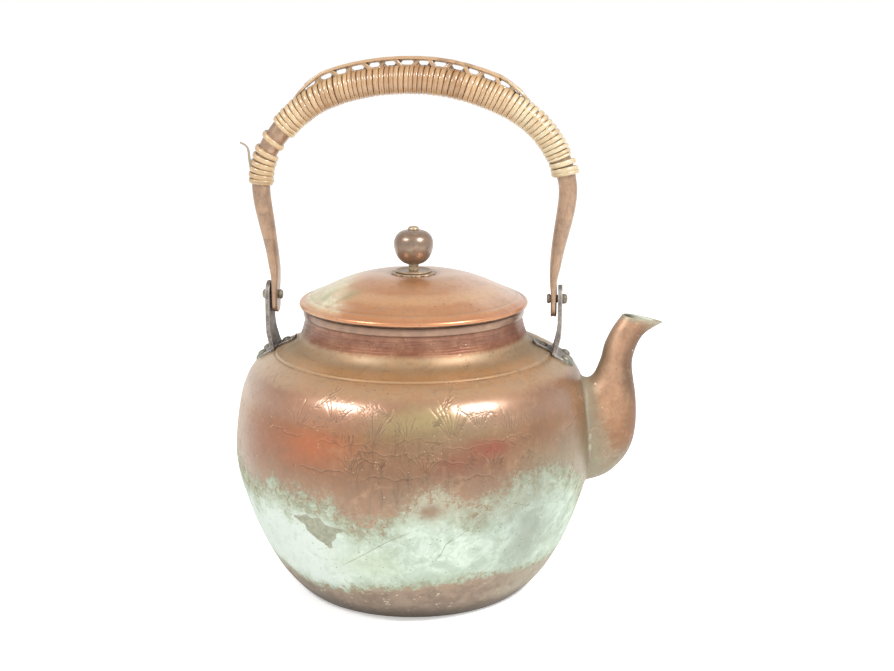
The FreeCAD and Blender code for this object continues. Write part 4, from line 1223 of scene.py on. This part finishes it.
    # mottling and specks
    c = M.mix(M.mul(M.step(n_fine, 0.50, 0.72), 0.26), c, (116, 84, 62))
    c = M.mix(M.mul(M.step(n_fine, 0.45, 0.28), 0.16), c, (206, 172, 138))
    cl = M.noise(8, 7, 0.72, 0.9, offset=101)
    c = M.mix(M.mul(M.step(cl, 0.52, 0.66), M.fmix(neck, 0.36, 0.1)), c, (128, 106, 82))
    c = M.mix(M.mul(M.step(cl, 0.46, 0.32), M.fmix(neck, 0.22, 0.08)), c, (196, 162, 128))
    speck = M.step(M.voronoi(2.6), 0.20, 0.10)
    pick = M.step(M.noise(6, 2, 0.5, offset=77), 0.56, 0.62)
    c = M.mix(M.mul(M.mul(speck, pick), 0.65), c, (78, 60, 48))
    wspeck = M.step(M.voronoi(1.9, vec=M.vmath("ADD", M.mm, (9.0, 3.0, 5.0))), 0.17, 0.09)
    wpick = M.step(M.noise(8, 2, 0.5, offset=91), 0.60, 0.66)
    c = M.mix(M.mul(M.mul(wspeck, wpick), 0.8), c, (226, 226, 206))
    # engraved lines hold dark tarnish, brighter along their edges
    eg = M.attr("m_engr")
    vary = M.step(M.noise(5, 3, 0.6, offset=67), 0.34, 0.58)
    engr = M.step(eg, 0.30, 0.85)
    lip = M.mul(M.band(eg, 0.06, 0.26, 0.06), 0.10)
    c = M.mix(lip, c, (214, 186, 150))
    c = M.mix(M.mul(engr, M.fmix(vary, 0.12, 0.5)), c, (92, 70, 50))
    # ---- verdigris
    top, low = M.attr("m_top"), M.attr("m_low")
    e1 = M.add(M.mul(signed(M, n_mid), 11.0), M.mul(signed(M, n_fine), 6.0))
    e1 = M.add(e1, M.mul(signed(M, n_tiny), 2.0))
    e1 = M.add(e1, M.mul(signed(M, M.noise(3.2, 6, 0.74, 0.6, offset=43)), 7.0))
    vt = M.add(top, e1)
    e2 = M.add(M.mul(signed(M, M.noise(7, 4, 0.6, offset=5)), 5.0), M.mul(signed(M, n_fine), 4.0))
    vl = M.add(low, e2)
    v_soft = M.add(M.step(vt, -8.0, 9.0), M.mul(signed(M, M.noise(1.3, 6, 0.78, 0.5, offset=141)), 0.75))
    v_in = M.mul(M.step(v_soft, 0.22, 0.78), M.step(vl, -1.6, 2.2))
    haze = M.mul(M.step(vt, -13.0, 2.0), M.step(vl, -7.0, 1.0))
    haze = M.mul(haze, M.step(n_fine, 0.30, 0.66))
    cloud = M.noise(11, 7, 0.70, 0.9, offset=151)
    cloud2 = M.noise(5, 7, 0.74, 0.8, offset=159)
    deep = M.mul(M.step(M.add(vt, M.mul(signed(M, n_big), 12)), 4, 22), M.step(vl, 1, 8))
    vc = M.mix(M.step(cloud2, 0.36, 0.60), (172, 182, 160), (146, 150, 126))
    vd = M.mix(M.step(cloud, 0.40, 0.62), (202, 216, 201), (176, 190, 173))
    vd = M.mix(M.mul(M.step(cloud2, 0.50, 0.64), 0.5), vd, (160, 172, 150))
    vc = M.mix(deep, vc, vd)
    left = M.mul(M.step(M.add(deg, M.mul(signed(M, n_mid), 10)), -6, -28), M.step(deg, -110, -76))
    vc = M.mix(M.mul(M.mul(left, deep), M.fmix(M.step(cloud2, 0.62, 0.42), 0.5, 0.95)), vc, (200, 208, 200))
    vc = M.mix(M.mul(M.blob(45, 44, 7, 15, deg, z, 0.8, rag), 0.75), vc, (158, 166, 150))
    vc = M.mix(M.mul(M.blob(40, 31, 10, 7, deg, z, 0.8, rag), 0.5), vc, (168, 180, 164))
    vc = M.mix(M.mul(M.blob(-9, 35, 10, 7, deg, z, 0.9, rag), 0.6), vc, (180, 190, 164))
    vc = M.mix(M.mul(M.blob(13, 29, 7, 3, deg, z, 0.9, rag), 0.6), vc, (164, 178, 158))
    vc = M.mix(M.mul(M.blob(61, 38, 6, 5, deg, z, 0.9, rag), 0.6), vc, (164, 172, 154))
    vc = M.mix(M.mul(M.blob(-44, 61, 4, 3.5, deg, z, 0.9, rag), 0.6), vc, (176, 184, 164))
    # greyish pink film without green in the middle, and browner at the upper right
    vc = M.mix(M.mul(M.blob(12, 69, 11, 8, deg, z, 0.8, rag), 0.75), vc, (170, 160, 140))
    vc = M.mix(M.mul(M.blob(33, 66, 16, 8, deg, z, 0.9, rag2), 0.55), vc, (160, 158, 136))
    worn_ = M.step(M.noise(3.2, 6, 0.74, 0.6, offset=43), M.fmix(deep, 0.50, 0.62), M.fmix(deep, 0.60, 0.72))
    vc = M.mix(M.mul(worn_, M.fmix(deep, 0.85, 0.4)), vc, M.mix(deep, (142, 114, 86), (160, 150, 126)))
    white = M.step(M.noise(2.4, 6, 0.76, 0.9, offset=181), 0.58, 0.68)
    vc = M.mix(M.mul(white, 0.6), vc, (226, 228, 214))
    c = M.mix(M.mul(haze, 0.45), c, (170, 162, 138))
    c = M.mix(v_in, c, vc)
    c = M.mix(M.mul(M.blob(10.5, 65.5, 2.6, 3.6, deg, z, 0.6, rag), 0.8), c, (138, 112, 90))
    gspeck = M.step(M.voronoi(3.4, vec=M.vmath("ADD", M.mm, (2.0, 7.0, 1.0))), 0.13, 0.06)
    c = M.mix(M.mul(M.mul(gspeck, v_in), 0.75), c, (84, 92, 78))
    c = M.mix(M.mul(M.mul(engr, v_in), 0.55), c, (118, 120, 98))
    # one angular patch where the crust has broken away
    chip = M.step(M.add(M.attr("m_chip"), M.mul(signed(M, n_fine), 1.2)), -1.0, -0.4)
    c = M.mix(chip, c, M.mix(M.step(n_fine, 0.4, 0.6), (136, 138, 118), (156, 156, 136)))
    # bare brown band at the foot with pale drops, dark lower edge
    foot = M.mul(M.step(vl, 1.6, -2.2), M.step(z, 40, 30))
    fc = M.mix(M.step(n_mid, 0.35, 0.65), (132, 112, 94), (156, 134, 114))
    fc = M.mix(M.mul(M.step(n_fine, 0.55, 0.7), 0.5), fc, (108, 86, 68))
    fc = M.mix(M.mul(M.mul(M.step(M.add(deg, M.mul(signed(M, n_mid), 20)), 24, 60), fade_r), 0.6), fc, (168, 162, 142))
    fc = M.mix(M.mul(M.mul(M.step(M.add(deg, M.mul(signed(M, n_mid), 10)), -22, -40), fade_l), 0.55), fc, (116, 110, 92))
    fc = M.mix(M.mul(M.mul(M.step(M.voronoi(2.9), 0.32, 0.16), M.step(M.noise(9, 3, 0.6, offset=3), 0.48, 0.6)), 0.7), fc, (206, 200, 180))
    c = M.mix(foot, c, fc)
    c = M.mix(M.mul(M.step(M.add(z, M.mul(signed(M, n_fine), 3.0)), 11.5, 3.0), 0.85), c, (88, 76, 60))
    # painted shade: the lower belly and its right side darker; also darker low at the front of the foot, round the neck
    # root and on the neck, a little lighter low on the front left
    tone = M.fmix(M.step(M.add(z, M.mul(signed(M, n_big), 6)), 106, 82), 1.0, 0.80)
    tone = M.mul(tone, M.fmix(M.blob(46, 58, 17, 30, deg, z, 0.7, rag2), 1.0, 0.76))
    tone = M.mul(tone, M.fmix(M.blob(-16, 8, 46, 10, deg, z, 0.6, rag2), 1.0, 0.82))
    tone = M.mul(tone, M.fmix(M.band(z, 122.5, 131.0, 1.6), 1.0, 0.78))
    tone = M.mul(tone, M.fmix(M.step(z, 129.5, 133.0), 1.0, 0.80))
    tone = M.mul(tone, M.fmix(M.blob(-22, 50, 16, 16, deg, z, 0.8, rag2), 1.0, 1.06))
    c = M.mix(1.0, c, M.vec3(tone, tone, tone), blend="MULTIPLY")
    bare = M.mul(M.sub(1.0, v_in), M.mul(M.step(M.add(z, M.mul(signed(M, n_big), 8)), 66, 84), M.step(z, 129.0, 126.0)))
    c = M.mix(bare, c, (240, 226, 210), blend="MULTIPLY")
    # inside: dark, with lime scale
    inside = M.attr("m_in")
    ic = M.mix(M.step(n_mid, 0.35, 0.65), (96, 74, 60), (134, 124, 104))
    ic = M.mix(M.mul(M.step(z, 70, 20), M.step(n_fine, 0.4, 0.6)), ic, (170, 166, 150))
    c = M.mix(inside, c, ic)
    # ---- finish
    v_any = M.m_("MAXIMUM", M.mul(v_in, 1.0), chip)
    v_any = M.m_("MAXIMUM", v_any, M.mul(haze, 0.5))
    dull = M.m_("MAXIMUM", v_any, M.m_("MAXIMUM", M.mul(side, 0.5), M.m_("MAXIMUM", inside, foot)))
    rough = M.add(0.27, M.mul(n_fine, 0.12))
    rough = M.fmix(neck, rough, 0.30)
    rough = M.fmix(M.mul(side, 0.7), rough, 0.52)
    rough = M.fmix(M.mul(M.step(cl, 0.50, 0.66), 0.5), rough, 0.5)
    rough = M.fmix(v_any, rough, 0.86)
    rough = M.fmix(foot, rough, 0.6)
    rough = M.fmix(inside, rough, 0.75)
    metal = M.fmix(v_any, 0.50, 0.0)
    metal = M.fmix(foot, metal, 0.25)
    metal = M.fmix(inside, metal, 0.3)
    h = M.add(M.mul(n_fine, 0.35), M.mul(n_tiny, 0.2))
    h = M.add(h, M.mul(v_in, M.add(0.5, M.mul(n_tiny, 0.9))))
    h = M.sub(h, M.mul(chip, 0.6))
    h = M.sub(h, M.mul(engr, 0.35))
    flat_ = M.band(z, 121.5, 132.6, 1.2)
    rough = M.fmix(M.mul(flat_, 0.85), rough, 0.52)
    # the upper belly is the part that hands have polished most
    worn = M.fmix(M.band(z, 102.0, 119.0, 5.0), 0.28, 1.0)
    M.put(M.mul(worn, M.mul(M.fmix(dull, 0.95, 0.0), M.fmix(flat_, 1.0, 0.08))), M.p.inputs["Coat Weight"])
    M.p.inputs["Coat Roughness"].default_value = 0.25
    M.p.inputs["Coat IOR"].default_value = 1.85
    return M.finish(c, rough, metal, M.bump(h, 0.5, 0.16))


def mat_lid():
    M = Mat("aged_copper_lid")
    r = M.vmath("LENGTH", M.vmath("MULTIPLY", M.mm, (1, 1, 0)))
    n_big, n_mid, n_fine = M.noise(22, 4, 0.6, offset=4), M.noise(8, 5, 0.62, 0.4, offset=19), M.noise(2.0, 6, 0.65, offset=37)
    n_tiny = M.noise(0.7, 3, 0.6, offset=51)
    rag = M.mul(signed(M, n_mid), 0.5)
    c = M.mix(M.step(n_big, 0.35, 0.66), (180, 124, 76), (192, 142, 98))
    c = M.mix(M.mul(M.step(n_mid, 0.45, 0.7), 0.5), c, (172, 110, 76))
    # painted reflection of the knob: a darker streak on the lid in front of it
    c = M.mix(M.mul(M.blob(2, -20, 6, 9, M.x, M.y, 0.8, rag), 0.5), c, (156, 102, 62))
    c = M.mix(M.mul(M.blob(2, -40, 34, 12, M.x, M.y, 0.8, rag), 0.7), c, (174, 114, 68))
    c = M.mix(M.mul(M.step(M.y, -18, 8), 0.55), c, (206, 178, 156))
    c = M.mix(M.mul(M.blob(36, -6, 15, 24, M.x, M.y, 0.8, rag), 0.6), c, (216, 184, 166))
    c = M.mix(M.mul(M.band(M.add(r, M.mul(signed(M, n_mid), 3.0)), 37, 44, 2.5), 0.4), c, (216, 178, 136))
    # thin pale film with grey-green streaks on one side
    f = M.add(M.mul(M.x, -1.0), M.add(M.mul(signed(M, n_mid), 9.0), M.mul(signed(M, n_fine), 3.5)))
    f = M.sub(f, M.mul(M.y, -0.10))
    pat = M.mul(M.step(f, 19, 38), M.fmix(M.step(r, 55.4, 53.6), 0.55, 1.0))
    pc = M.mix(M.step(n_mid, 0.36, 0.62), (184, 184, 150), (206, 202, 176))
    st = M.noise(4.2, 5, 0.7, 0.9, offset=8, stretch=(1.6, 0.7, 1))
    pc = M.mix(M.mul(M.step(st, 0.52, 0.66), 0.6), pc, (158, 164, 128))
    lc = M.noise(9, 6, 0.68, 0.7, offset=131)
    c = M.mix(M.mul(M.step(lc, 0.50, 0.64), 0.35), c, (160, 128, 100))
    c = M.mix(0.10, c, (200, 176, 152))
    pat = M.mul(pat, M.fmix(M.step(lc, 0.40, 0.60), 0.65, 1.0))
    c = M.mix(M.mul(pat, M.fmix(M.step(n_fine, 0.3, 0.55), 0.6, 0.95)), c, pc)
    g = M.blob(-28, -29, 5, 3.4, M.x, M.y, 0.8, rag)
    c = M.mix(M.mul(g, 0.6), c, (150, 142, 104))
    c = M.mix(M.mul(M.blob(-41, -22, 4, 6, M.x, M.y, 0.9, rag), 0.6), c, (156, 156, 122))
    # darker tarnish in the crease and round the knob plate
    c = M.mix(M.mul(M.band(r, 50.6, 51.8, 0.7), 0.22), c, (136, 96, 66))
    c = M.mix(M.mul(M.step(r, 15.0, 11.8), 0.5), c, (120, 86, 62))
    c = M.mix(M.mul(M.step(n_fine, 0.52, 0.70), 0.30), c, (138, 92, 64))
    c = M.mix(M.mul(M.mul(M.step(M.voronoi(2.4), 0.18, 0.09), M.step(M.noise(7, 2, 0.5, offset=71), 0.56, 0.62)), 0.7), c, (92, 64, 46))
    # brim a little redder; painted shade on the downward-facing underside of the bead
    c = M.mix(M.mul(M.step(r, 52.4, 54.4), 0.4), c, (186, 118, 78))
    under = M.step(M.z, 142.95, 142.55)
    geo = M.t.nodes.new("ShaderNodeNewGeometry")
    nz = M.t.nodes.new("ShaderNodeSeparateXYZ")
    M.link(geo.outputs["Normal"], nz.inputs[0])
    # painted shade: dark brown on surfaces that face down, under the bead
    down = M.mul(M.step(nz.outputs[2], -0.05, -0.6), M.step(M.z, 144.6, 143.4))
    c = M.mix(down, c, M.mix(M.step(n_mid, 0.4, 0.6), (72, 54, 42), (112, 90, 70)))
    rough = M.add(0.27, M.mul(n_fine, 0.12))
    rough = M.fmix(pat, rough, 0.5)
    rough = M.fmix(down, rough, 0.6)
    metal = M.fmix(pat, 0.55, 0.12)
    h = M.add(M.mul(n_fine, 0.4), M.mul(n_tiny, 0.25))
    h = M.add(h, M.mul(pat, 0.35))
    return M.finish(c, rough, metal, M.bump(h, 0.35, 0.12), coat=0.45, coat_rough=0.2)


def mat_copper(name, a, b, dark, pale, rough=0.36, metal=0.6, seed=0.0, green=0.0, scale=1.0, streaks=None, coat=0.3):
    M = Mat(name)
    n_big, n_mid, n_fine = M.noise(16 * scale, 4, 0.6, offset=seed), M.noise(5.5 * scale, 5, 0.62, 0.4, offset=seed + 9), M.noise(1.5 * scale, 6, 0.65, offset=seed + 21)
    n_tiny = M.noise(0.5, 3, 0.6, offset=seed + 51)
    c = M.mix(M.step(n_big, 0.36, 0.64), a, b)
    c = M.mix(M.mul(M.step(n_mid, 0.46, 0.70), 0.6), c, dark)
    c = M.mix(M.mul(M.step(n_mid, 0.46, 0.28), 0.4), c, pale)
    c = M.mix(M.mul(M.step(n_fine, 0.52, 0.70), 0.35), c, dark)
    c = M.mix(M.mul(M.mul(M.step(M.voronoi(1.8), 0.18, 0.09), M.step(M.noise(5, 2, 0.5, offset=seed + 71), 0.55, 0.62)), 0.6), c, dark)
    if green:
        c = M.mix(M.mul(M.step(M.noise(7, 5, 0.66, 0.6, offset=seed + 3), 0.52, 0.64), green), c, (176, 184, 156))
    if streaks is not None:
        s = M.noise(2.2, 4, 0.6, 0.2, offset=seed + 61, stretch=streaks)
        c = M.mix(M.mul(M.step(s, 0.5, 0.68), 0.4), c, dark)
    c = M.mix(0.2, c, (190, 170, 150))
    rgh = M.add(rough - 0.06, M.mul(n_fine, 0.14))
    h = M.add(M.mul(n_fine, 0.5), M.mul(n_tiny, 0.3))
    return M.finish(c, rgh, metal, M.bump(h, 0.35, 0.10), coat=coat, coat_rough=0.24)


def mat_spout():
    M = Mat("aged_copper_spout")
    n_big, n_mid, n_fine = M.noise(15, 4, 0.6, offset=2), M.noise(6.0, 5, 0.62, 0.5, offset=11), M.noise(1.7, 6, 0.66, offset=29)
    n_tiny = M.noise(0.5, 3, 0.6, offset=57)
    up = M.attr("m_up")
    rag = M.mul(signed(M, n_mid), 0.5)
    geo = M.t.nodes.new("ShaderNodeNewGeometry")
    nrm = M.t.nodes.new("ShaderNodeSeparateXYZ")
    M.link(geo.outputs["Normal"], nrm.inputs[0])
    nx = M.add(nrm.outputs[0], M.mul(signed(M, n_mid), 0.25))
    c = M.mix(M.step(n_big, 0.36, 0.64), (142, 106, 80), (158, 122, 96))
    # painted light and shade by facing: paler on the left-facing side, dark brown on the right-facing side, darker
    # again along the far left edge
    c = M.mix(M.mul(M.step(nx, 0.05, -0.4), 0.7), c, (188, 152, 124))
    c = M.mix(M.mul(M.step(nx, 0.0, 0.7), 0.9), c, (92, 67, 49))
    c = M.mix(M.mul(M.step(nx, -0.72, -0.95), 0.6), c, (118, 94, 74))
    c = M.mix(M.mul(M.blob(103, 84, 9, 14, M.x, M.z, 0.8, rag), 0.6), c, (140, 98, 66))
    c = M.mix(M.mul(M.blob(98, 96, 8, 9, M.x, M.z, 0.8, rag), 0.5), c, (188, 148, 116))
    c = M.mix(M.mul(M.step(n_mid, 0.46, 0.70), 0.4), c, (126, 92, 70))
    # grey-green film near the root, along the back and under the belly
    root = M.step(M.add(up, M.mul(signed(M, n_mid), 0.14)), 0.24, 0.03)
    c = M.mix(M.mul(root, 0.8), c, (132, 126, 104))
    back = M.mul(M.step(M.sub(M.x, M.mul(M.sub(M.z, 110), 0.22)), 98, 91), M.step(M.z, 74, 92))
    c = M.mix(M.mul(back, 0.5), c, (132, 118, 94))
    low = M.step(M.add(M.z, M.mul(signed(M, n_mid), 12)), 80, 60)
    c = M.mix(M.mul(low, 0.75), c, (138, 132, 112))
    # beak end bleached grey
    tip = M.step(M.add(up, M.mul(signed(M, n_fine), 0.03)), 0.955, 0.995)
    c = M.mix(M.mul(tip, 0.7), c, (150, 146, 126))
    c = M.mix(M.mul(M.step(M.x, 112, 122), 0.5), c, (156, 152, 132))
    c = M.mix(M.mul(M.step(n_fine, 0.52, 0.70), 0.3), c, (108, 80, 60))
    pit = M.mul(M.step(M.voronoi(2.8), 0.16, 0.08), M.step(M.noise(6, 2, 0.5, offset=71), 0.55, 0.62))
    c = M.mix(M.mul(pit, 0.75), c, (86, 62, 50))
    ws = M.mul(M.step(M.voronoi(3.6, vec=M.vmath("ADD", M.mm, (9.0, 3.0, 5.0))), 0.16, 0.10), M.step(M.noise(9, 2, 0.5, offset=91), 0.56, 0.63))
    c = M.mix(M.mul(ws, 0.8), c, (226, 222, 204))
    cl = M.noise(6, 7, 0.72, 0.8, offset=131)
    c = M.mix(M.mul(M.step(cl, 0.50, 0.66), 0.4), c, (138, 120, 96))
    c = M.mix(M.mul(M.step(cl, 0.46, 0.32), 0.25), c, (190, 160, 130))
    inside = M.attr("m_in")
    # inside: painted shade, dark towards the left and very dark deep in the spout, pale grey towards the right of the
    # mouth
    dark_in = M.mix(M.step(M.add(M.x, M.mul(signed(M, n_mid), 4)), 104, 113), (74, 68, 58), (196, 198, 180))
    dark_in = M.mix(M.step(M.z, 134, 126), dark_in, (44, 38, 32))
    c = M.mix(M.step(inside, 0.35, 0.75), c, dark_in)
    rgh = M.fmix(inside, M.add(0.40, M.mul(n_fine, 0.16)), 0.7)
    rgh = M.fmix(M.mul(root, 0.6), rgh, 0.62)
    metal = M.fmix(inside, M.fmix(M.mul(root, 0.7), 0.45, 0.15), 0.1)
    h = M.sub(M.add(M.mul(n_fine, 0.5), M.mul(n_tiny, 0.3)), M.mul(pit, 0.6))
    return M.finish(c, rgh, metal, M.bump(h, 0.4, 0.12))


def mat_rattan():
    M = Mat("rattan_strand")
    al, ac, sid = M.attr("r_along"), M.attr("r_across"), M.attr("r_id")
    turn = M.m_("FLOOR", sid)
    wn = M.t.nodes.new("ShaderNodeTexWhiteNoise")
    wn.noise_dimensions = "1D"
    M.link(turn, wn.inputs["W"])
    rnd = M.noise(1.0, 2, 0.5, vec=M.vmath("ADD", M.vec3(M.mul(sid, 0.55), 3.3, 1.1), (0, 0, 0)))
    fib = M.noise(1.0, 4, 0.6, vec=M.vec3(M.mul(al, 0.22), M.mul(ac, 6.0), M.mul(sid, 0.9)))
    blot = M.noise(1.0, 3, 0.6, vec=M.vec3(M.mul(al, 0.10), M.mul(ac, 0.6), M.mul(sid, 1.3)))
    big = M.noise(22, 3, 0.55, offset=6)
    c = M.mix(M.step(rnd, 0.34, 0.66), (160, 122, 82), (196, 160, 116))
    c = M.mix(M.mul(M.step(blot, 0.44, 0.68), 0.6), c, (148, 104, 68))
    c = M.mix(M.mul(M.step(big, 0.44, 0.60), 0.35), c, (200, 168, 126))
    # the ends of the grip are paler straw; the middle is browner with handling
    ends = M.step(M.add(M.m_("ABSOLUTE", M.add(M.x, 2.0)), M.mul(signed(M, big), 16.0)), 30, 58)
    c = M.mix(M.mul(ends, 0.5), c, (214, 190, 148))
    right = M.step(M.add(M.x, M.mul(signed(M, big), 10)), 40, 62)
    c = M.mix(M.mul(right, M.fmix(M.step(rnd, 0.4, 0.6), 0.25, 0.8)), c, (206, 194, 158))
    mid = M.step(M.add(M.m_("ABSOLUTE", M.add(M.x, 4.0)), M.mul(signed(M, big), 18.0)), 44, 12)
    c = M.mix(M.mul(mid, 0.42), c, (158, 116, 80))
    c = M.mix(M.mul(M.step(fib, 0.50, 0.66), 0.5), c, (134, 96, 62))
    c = M.mix(M.mul(M.step(fib, 0.44, 0.28), 0.4), c, (220, 194, 150))
    # handling dirt: the ties darker low down
    tie = M.step(M.z, 214, 206)
    c = M.mix(M.mul(tie, 0.6), c, (166, 136, 96))
    # dirt gathered along both edges of each strand
    loose = M.step(sid, 395, 399)
    edge = M.mul(M.step(M.m_("ABSOLUTE", ac), 0.66, 1.0), M.fmix(loose, M.fmix(M.step(rnd, 0.35, 0.6), 0.2, 0.6), 0.15))
    c = M.mix(edge, c, (128, 92, 60))
    c = M.mix(M.mul(loose, 0.5), c, (176, 142, 106))
    c = M.mix(M.mul(M.mul(loose, M.step(blot, 0.5, 0.6)), 0.5), c, (112, 88, 64))
    c = M.mix(0.24, c, (96, 72, 48))
    grey = M.step(M.attr("r_id"), 499.5, 499.9)
    c = M.mix(M.mul(grey, 0.75), c, (124, 116, 100))
    h = M.add(M.mul(fib, 0.7), M.mul(M.noise(0.5, 3, 0.6), 0.3))
    rgh = M.add(0.26, M.mul(fib, 0.22))
    return M.finish(c, rgh, 0.0, M.bump(h, 0.4, 0.08), spec=0.6, coat=0.6, coat_rough=0.16)


def vec3(self, x, y, z):
    n = self.t.nodes.new("ShaderNodeCombineXYZ")
    self.put(x, n.inputs[0])
    self.put(y, n.inputs[1])
    self.put(z, n.inputs[2])
    return n.outputs[0]


Mat.vec3 = vec3


def mat_lug(name, a, b, dark, pale, seed, metal=0.45, rough=0.5):
    M = Mat(name)
    n_mid, n_fine = M.noise(4.0, 5, 0.62, 0.4, offset=seed), M.noise(1.1, 6, 0.66, offset=seed + 21)
    geo = M.t.nodes.new("ShaderNodeNewGeometry")
    point = geo.outputs["Pointiness"]
    c = M.mix(M.step(n_mid, 0.38, 0.64), a, b)
    c = M.mix(M.mul(M.step(n_fine, 0.48, 0.66), 0.6), c, dark)
    wear = M.step(M.add(point, M.mul(signed(M, n_fine), 0.02)), 0.515, 0.56)
    c = M.mix(M.mul(wear, 0.7), c, pale)
    c = M.mix(M.mul(M.step(point, 0.49, 0.44), 0.5), c, dark)
    c = M.mix(M.mul(M.step(M.add(M.z, M.mul(signed(M, n_mid), 3)), 121, 114), 0.35), c, (150, 158, 138))
    h = M.add(M.mul(n_fine, 0.6), M.mul(n_mid, 0.4))
    return M.finish(c, M.add(rough - 0.06, M.mul(n_fine, 0.16)), metal, M.bump(h, 0.45, 0.12))


# ------------------------------------------------------------------- build
m_body, m_lid, m_spout, m_rattan = mat_body(), mat_lid(), mat_spout(), mat_rattan()
m_rim = mat_copper("aged_copper_rim", (116, 80, 60), (134, 96, 72), (76, 50, 38), (176, 140, 112), rough=0.30, metal=0.55, seed=3)
m_knob = mat_copper("aged_copper_knob", (102, 76, 58), (124, 93, 70), (72, 58, 45), (160, 132, 106), rough=0.31, metal=0.5, seed=8, scale=0.7, green=0.2, coat=0.55)
m_plate = mat_copper("tarnished_copper_plate", (146, 120, 94), (164, 140, 112), (92, 72, 56), (192, 172, 144), rough=0.42, metal=0.5, seed=14, scale=0.6, green=0.4)
m_arm = mat_copper("aged_copper_handle", (138, 106, 80), (156, 122, 94), (96, 70, 52), (190, 160, 132), rough=0.36, metal=0.58, seed=21, scale=0.9, streaks=(1.4, 1.4, 0.25))
m_braze = mat_copper("braze_metal", (116, 108, 88), (104, 94, 76), (82, 70, 54), (150, 142, 120), rough=0.55, metal=0.3, seed=31, scale=0.6, green=0.4, coat=0.0)
m_under = mat_copper("tarnished_copper_inside", (122, 92, 74), (142, 112, 92), (84, 64, 52), (170, 156, 132), rough=0.55, metal=0.4, seed=41, green=0.3)
m_base = mat_copper("scorched_copper_base", (104, 84, 70), (136, 112, 92), (58, 46, 40), (170, 164, 146), rough=0.6, metal=0.35, seed=45, green=0.45)
m_lug = mat_lug("oxidised_lug_metal", (140, 132, 124), (110, 102, 96), (64, 58, 54), (200, 196, 190), 3.0)
m_pin = mat_lug("oxidised_pin_metal", (138, 132, 116), (116, 106, 92), (76, 68, 58), (200, 196, 184), 33.0)

body_o = build_body(m_body)
strainer(body_o)
ring_band(m_rim)
lid_top(m_lid)
rosette(m_plate)
stem(m_plate)
knob(m_knob)
spout_piece(m_spout)
seam_piece(m_braze)
handle_copper(m_arm)
rattan(m_rattan)
lacing(m_rattan)
worn("lug_left", "lug_left_worn", "kettle", "lug_metal", m_lug, 0.32, seed=1)
worn("lug_right", "lug_right_worn", "kettle", "lug_metal", m_lug, 0.32, seed=2)
worn("lug_rivets_left", "lug_rivets_left_worn", "kettle", "pin_metal", m_pin, 0.2, seed=3)
worn("lug_rivets_right", "lug_rivets_right_worn", "kettle", "pin_metal", m_pin, 0.2, seed=4)
worn("hinge_pin_left", "hinge_pin_left_worn", "kettle", "pin_metal", m_pin, 0.16, 2, 0.03, seed=5)
worn("hinge_pin_right", "hinge_pin_right_worn", "kettle", "pin_metal", m_pin, 0.16, 2, 0.03, seed=6)
for node, mat in (("base_plate", m_base), ("lid_collar", m_under), ("stem_rove", m_plate)):
    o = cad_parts[node]
    o.data.materials.clear()
    o.data.materials.append(mat)

# ------------------------------------------------------- floor and lighting
fl = bpy.data.meshes.new("floor")
n_f = 24
fr = np.linspace(0, 1, n_f)
verts, faces = [], []
for j in range(n_f):
    for i in range(n_f):
        verts.append(((i / (n_f - 1) - 0.5) * 8.0, (j / (n_f - 1) - 0.5) * 8.0, -0.0002))
for j in range(n_f - 1):
    for i in range(n_f - 1):
        a = j * n_f + i
        faces.append((a, a + 1, a + n_f + 1, a + n_f))
fl.from_pydata(verts, [], faces)
floor = bpy.data.objects.new("floor", fl)
scene.collection.objects.link(floor)
F = Mat("pale_floor")
F.finish((250, 250, 249), 0.9, 0.0)
F.p.inputs["Emission Color"].default_value = (1, 1, 1, 1)
F.p.inputs["Emission Strength"].default_value = 0.36
fl.materials.append(F.m)

world = bpy.data.worlds.new("studio")
scene.world = world
world.use_nodes = True
wt = world.node_tree
bg = wt.nodes["Background"]
tc = wt.nodes.new("ShaderNodeTexCoord")
sp = wt.nodes.new("ShaderNodeSeparateXYZ")
mr = wt.nodes.new("ShaderNodeMapRange")
mr.interpolation_type = "SMOOTHSTEP"
wt.links.new(tc.outputs["Generated"], sp.inputs[0])
wt.links.new(sp.outputs[2], mr.inputs["Value"])
mr.inputs["From Min"].default_value, mr.inputs["From Max"].default_value = 0.06, 0.5
mr.inputs["To Min"].default_value, mr.inputs["To Max"].default_value = 1.02, 0.70
wt.links.new(mr.outputs["Result"], bg.inputs[1])
bg.inputs[0].default_value = (1.0, 1.0, 1.0, 1)


def softbox(name, az, el, dist, sx, sy, power, aim=(0, 0, 0.11), tint=(1, 1, 1)):
    a, e = az * D2R, el * D2R
    at = Vector(aim) + Vector((math.sin(a) * math.cos(e), -math.cos(a) * math.cos(e), math.sin(e))) * dist
    L = bpy.data.lights.new(name, "AREA")
    L.shape, L.size, L.size_y, L.energy, L.color = "RECTANGLE", sx, sy, power, tint
    o = bpy.data.objects.new(name, L)
    o.location = at
    o.rotation_euler = (Vector(aim) - at).to_track_quat("-Z", "Y").to_euler()
    scene.collection.objects.link(o)
    return o


softbox("key_left", -50, 43, 0.95, 0.26, 0.13, 4.6)
softbox("key_right", 55, 43, 0.95, 0.24, 0.13, 7.8)

scene.view_settings.view_transform = "Standard"
scene.view_settings.look = "None"
scene.view_settings.exposure = 0.0
scene.view_settings.gamma = 1.0
